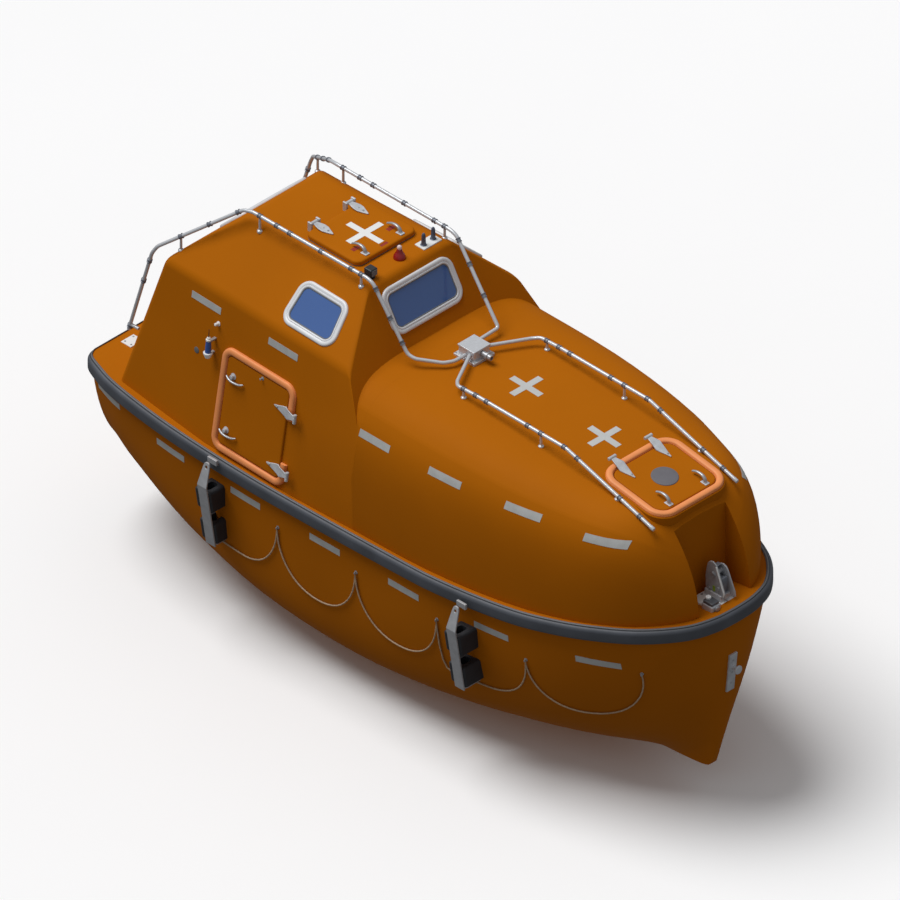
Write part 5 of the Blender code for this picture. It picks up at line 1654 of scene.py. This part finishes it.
def build_roof_fittings():
    base = turned("base", (BEACON_X, 0, ROOF - 0.004), UP, BEACON_BASE, LENS_RED)
    dome = turned("dome", (BEACON_X, 0, ROOF + 0.070), UP, BEACON_DOME, LENS_PALE)
    done(merged("beacon_pieces", [base, dome]), "boat", "beacon", slot="beacon_red")
    parts = [rounded_box("plate", (-0.57, 0.185, ROOF - 0.01), (-0.475, 0.365, ROOF + 0.008), WHITE, 0.003)]
    for x, y in POSTS:
        parts.append(turned("post", (x, y, ROOF + 0.006), UP, POST, POST_GREY, sides=24))
    done(merged("post_pieces", parts), "boat", "post_plate", slot="stainless_steel")
    lamp = [
        turned("foot", (-0.51, -0.31, ROOF - 0.01), UP, LAMP_FOOT, BLACK),
        rounded_box("head", (-0.548, -0.345, ROOF + 0.022), (-0.474, -0.275, ROOF + 0.084), BLACK, 0.010),
        rounded_box("lens", (-0.4755, -0.337, ROOF + 0.030), (-0.4725, -0.283, ROOF + 0.076), GASKET, 0.001),
    ]
    done(merged("deck_lamp_pieces", lamp), "boat", "deck_lamp", slot="black_plastic")


def build_wall_fittings(skin):
    """The rescue light canister on its brackets, the marker light and the small spot."""
    parts = []
    rows = (("base", CAN_BASE, WHITE), ("can", CAN, CANISTER_BLUE), ("collar", CAN_COLLAR, WHITE))
    for name, profile, look in rows:
        parts.append(turned(name, CAN_AT, CAN_UP, profile, look))
    whip = [CAN_AT + CAN_UP * 1.01, CAN_AT + CAN_UP * 1.42]
    parts.append(sweep("whip", whip, [0.0035, 0.002], BLACK, sides=8))
    for z in CAN_BRACKETS:
        place, _ = skin.hit((CAN_AT.x, OFF_WALL, z), TO_PORT)
        low, high = (-1.532, -0.915, z - 0.007), (-1.508, place.y + 0.01, z + 0.007)
        parts.append(rounded_box("bracket", low, high, STEEL, 0.002))
    done(merged("canister_pieces", parts), "boat", "rescue_canister", slot="canister_blue")
    place, normal = skin.hit((-1.507, OFF_WALL, 1.62), TO_PORT)
    done(turned("marker_light", place, normal, MARKER, WHITE), "boat", slot="white_liner")
    place, normal = skin.hit((-1.69, OFF_WALL, 1.32), TO_PORT)
    done(turned("wall_spot", place, normal, SPOT, FENDER_HIGHLIGHT_GREY), "boat", slot="black_plastic")


# Stern gear

# Along the shaft from its fore end: the hub.
HUB = mm((0, 20), (3, 29), (12, 32), (55, 31), (70, 28), (85, 21), (95, 12), (98.5, 0))
# The nozzle ring's section: x and radius.
NOZZLE = mm(
    (75, 149), (75.5, 154.5), (72, 159.5), (60, 162), (20, 163), (-40, 158.5), (-70, 153.5), (-75, 150.5),
    (-72, 147.5), (-40, 146), (20, 145.2), (60, 146),
)
STOCK = mm((0, 20), (4, 30), (10, 30), (14, 22), (43.7, 21.5), (43.7, 0))
BLADES = 3
# Radius, chord, pitch in degrees, thickness.
BLADE = (
    (0.020, 0.052, 62, 0.012), (0.040, 0.070, 50, 0.010), (0.065, 0.088, 41, 0.008), (0.090, 0.097, 34, 0.006),
    (0.110, 0.090, 29, 0.0045), (0.124, 0.068, 26, 0.0035), (0.1325, 0.034, 25, 0.0025),
    (0.134, 0.010, 25, 0.0015),
)


def blade(spin):
    rings = []
    for r, chord, pitch, thick in BLADE:
        a = math.radians(pitch)
        ring = []
        for c, s in around(14):
            s, t = c * chord / 2, s * thick / 2
            u = s * math.cos(a) - t * math.sin(a)
            x = s * math.sin(a) + t * math.cos(a)
            y = u * math.cos(spin) - r * math.sin(spin)
            z = u * math.sin(spin) + r * math.cos(spin)
            ring.append((PROP_X - 0.005 + x * 0.8, y, SHAFT_Z + z))
        rings.append(ring)
    return from_rings("blade", rings, BRONZE, sharp=50)


def build_stern_gear():
    parts = [
        turned("hub", (PROP_X + 0.045, 0, SHAFT_Z), ASTERN, HUB, BRONZE),
        turned("shaft", (-2.1405, 0, SHAFT_Z), ASTERN, ((0, 0.0165), (0.17, 0.0165)), STEEL, sides=24),
    ]
    parts += [blade(TAU * k / BLADES) for k in range(BLADES)]
    done(merged("propeller_pieces", parts), "propeller", "propeller", slot="propeller_bronze")
    rings = [[(PROP_X + x, r * s, SHAFT_Z + r * c) for x, r in NOZZLE] for c, s in around(72)]
    ring = from_rings("ring", rings, STEEL, closed_path=True)
    stock = turned("stock", (PROP_X, 0, SHAFT_Z + 0.156), UP, STOCK, STEEL, sides=28)
    done(merged("nozzle_pieces", [ring, stock]), "steering_nozzle", "steering_nozzle", slot="stainless_steel")


# Inside, where the open doors show it

SEATS = 4
DIAL = mm((0, 30), (6, 30), (8, 26), (6, 0))
WHEEL = (-0.60, 0, 0.80)
SPOKES = 3


def build_inside():
    parts = []
    for side in SIDES.values():
        low, high = sorted((side * 0.285, side * 0.495))
        for k in range(SEATS):
            x = -1.24 + k * 0.50
            parts.append(rounded_box("seat_pad", (x, low, 0.158), (x + 0.44, high, 0.185), SEAT_ORANGE, 0.010))
            parts.append(rounded_box("belt", (x + 0.20, low, 0.180), (x + 0.24, high, 0.188), BLACK, 0.002))
    done(merged("seat_pads", parts), "boat", slot="white_liner")
    parts = [rounded_box("panel", (-0.505, -0.22, 0.86), (-0.495, 0.22, 1.05), BLACK, 0.003)]
    for y in (-0.14, -0.05, 0.05, 0.14):
        parts.append(turned("dial", (-0.505, y, 0.99), ASTERN, DIAL, STEEL, sides=24))
    parts.append(ring_body("wheel", WHEEL, (-1, 0, 0.25), 0.15, 0.011, BLACK, 40, 10))
    parts.append(sweep("column", [(-0.50, 0, 0.775), (-0.605, 0, 0.801)], 0.016, STEEL))
    for k in range(SPOKES):
        a = TAU * k / SPOKES + math.pi / 2
        rim_spot = Vector((-0.60 + 0.036 * math.sin(a), 0.148 * math.cos(a), 0.80 + 0.144 * math.sin(a)))
        parts.append(sweep("spoke", [WHEEL, rim_spot], 0.008, STEEL))
    done(merged("helm_pieces", parts), "boat", slot="black_plastic")


def build_aft_bracket(skin):
    """The small white gusset at the cabin's aft corner."""
    place, _ = skin.hit((-3.2, -0.74, 1.02), AHEAD)
    shape = mm((0, -35), (0, 45), (-30, -28), (-30, -35))
    points = [(place.x + 0.008 + u, 1.02 + v) for u, v in shape]
    done(upright("aft_gusset", points, (-0.765, -0.715), WHITE, 0.003), "boat", slot="white_liner")


STERN_PAD_X = (-2.762, -2.662)
STERN_PAD_Y = (0.422, 0.548)


def build_stern_pads():
    """A white bolted pad on each side of the stern deck."""
    floor = deck_z(STERN_PAD_X[0])
    parts = []
    for side in SIDES.values():
        near, far = sorted(side * y for y in STERN_PAD_Y)
        low, high = (STERN_PAD_X[0], near, floor - 0.006), (STERN_PAD_X[1], far, floor + 0.007)
        parts.append(rounded_box("pad", low, high, WHITE, 0.003))
        for x in (STERN_PAD_X[0] + 0.02, STERN_PAD_X[1] - 0.02):
            for y in (near + 0.022, far - 0.022):
                parts.append(bolt((x, y, floor + 0.0065), UP, 0.0055))
    done(merged("stern_pads", parts), "boat", slot="white_liner")


hull_piece = build_hull()
build_fender()
cabin_skin, fore_skin = build_canopy()
for word, side in SIDES.items():
    window(word, chamfer_frame(), SIDE_CORNERS, side)
    build_door(word, side)
window("front", front_frame(), FRONT_CORNERS)
window("aft", aft_frame(), FRONT_CORNERS)
build_roof_hatch()
build_fore_hatch()
canopy_surface = Skin(cabin_skin, fore_skin)
hull_surface = Skin(hull_piece)
build_tapes(canopy_surface, hull_surface)
build_pipes(canopy_surface)
build_manifold()
for word, x in HOOKS.items():
    build_hook(word, x, 1 if word == "fore" else -1)
build_tow_plate()
build_skates()
build_lifelines(hull_surface)
build_roof_fittings()
build_wall_fittings(canopy_surface)
build_aft_bracket(canopy_surface)
build_stern_pads()
build_stern_gear()
build_inside()


# The frame's own pieces that stay: the keel and the blocks inside.
PLAIN = {
    "keel": (GELCOAT, 0.006), "bench_starboard": (LINER, 0.02), "bench_port": (LINER, 0.02),
    "helm_console": (LINER, 0.02), "engine_block": (ENGINE, 0.02),
}


def plain_nodes():
    for name, (look, width) in PLAIN.items():
        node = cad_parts[name]
        node.data.materials.clear()
        node.data.materials.append(look)
        soften(node, width)


plain_nodes()


# Light and floor

SUN_WAY = Vector((-0.39, -0.19, 0.90))
SUN_FAR = 20
SUN_POWER = 2.38
SUN_ANGLE = 38
SKY_LOW = (0.28, 0.28, 0.28)
SKY_HIGH = (0.58, 0.58, 0.59)
SKY_POWER = 0.55


def make_sun():
    data = bpy.data.lights.new("key", "SUN")
    data.energy = SUN_POWER
    data.angle = math.radians(SUN_ANGLE)
    sun = link(bpy.data.objects.new("key", data))
    place = SUN_WAY.normalized() * SUN_FAR
    sun.location = place
    sun.rotation_mode = "QUATERNION"
    sun.rotation_quaternion = (Vector((0, 0, 0)) - place).to_track_quat("-Z", "Y")


def make_world():
    """Pale sky above, dim below."""
    world = bpy.data.worlds.new("studio")
    bpy.context.scene.world = world
    world.use_nodes = True
    tree = world.node_tree
    back = tree.nodes["Background"]
    spot = tree.nodes.new("ShaderNodeTexCoord")
    parts = tree.nodes.new("ShaderNodeSeparateXYZ")
    reach = tree.nodes.new("ShaderNodeMapRange")
    reach.inputs["From Min"].default_value = -1.0
    wire(tree, spot.outputs["Generated"], parts.inputs["Vector"])
    wire(tree, parts.outputs["Z"], reach.inputs["Value"])
    sky = ramp_between(tree, reach.outputs["Result"], SKY_LOW, SKY_HIGH, 0.30, 0.75)
    wire(tree, sky, back.inputs["Color"])
    back.inputs["Strength"].default_value = SKY_POWER


def make_stage():
    half = FLOOR_HALF
    floor = box("floor", (-half, -half, FLOOR_Z - FLOOR_THICK), (half, half, FLOOR_Z), FLOOR)
    floor.visible_diffuse = False
    floor.visible_glossy = False
    floor.visible_transmission = False
    make_sun()
    make_world()
    bpy.context.scene.view_settings.view_transform = "Standard"


make_stage()
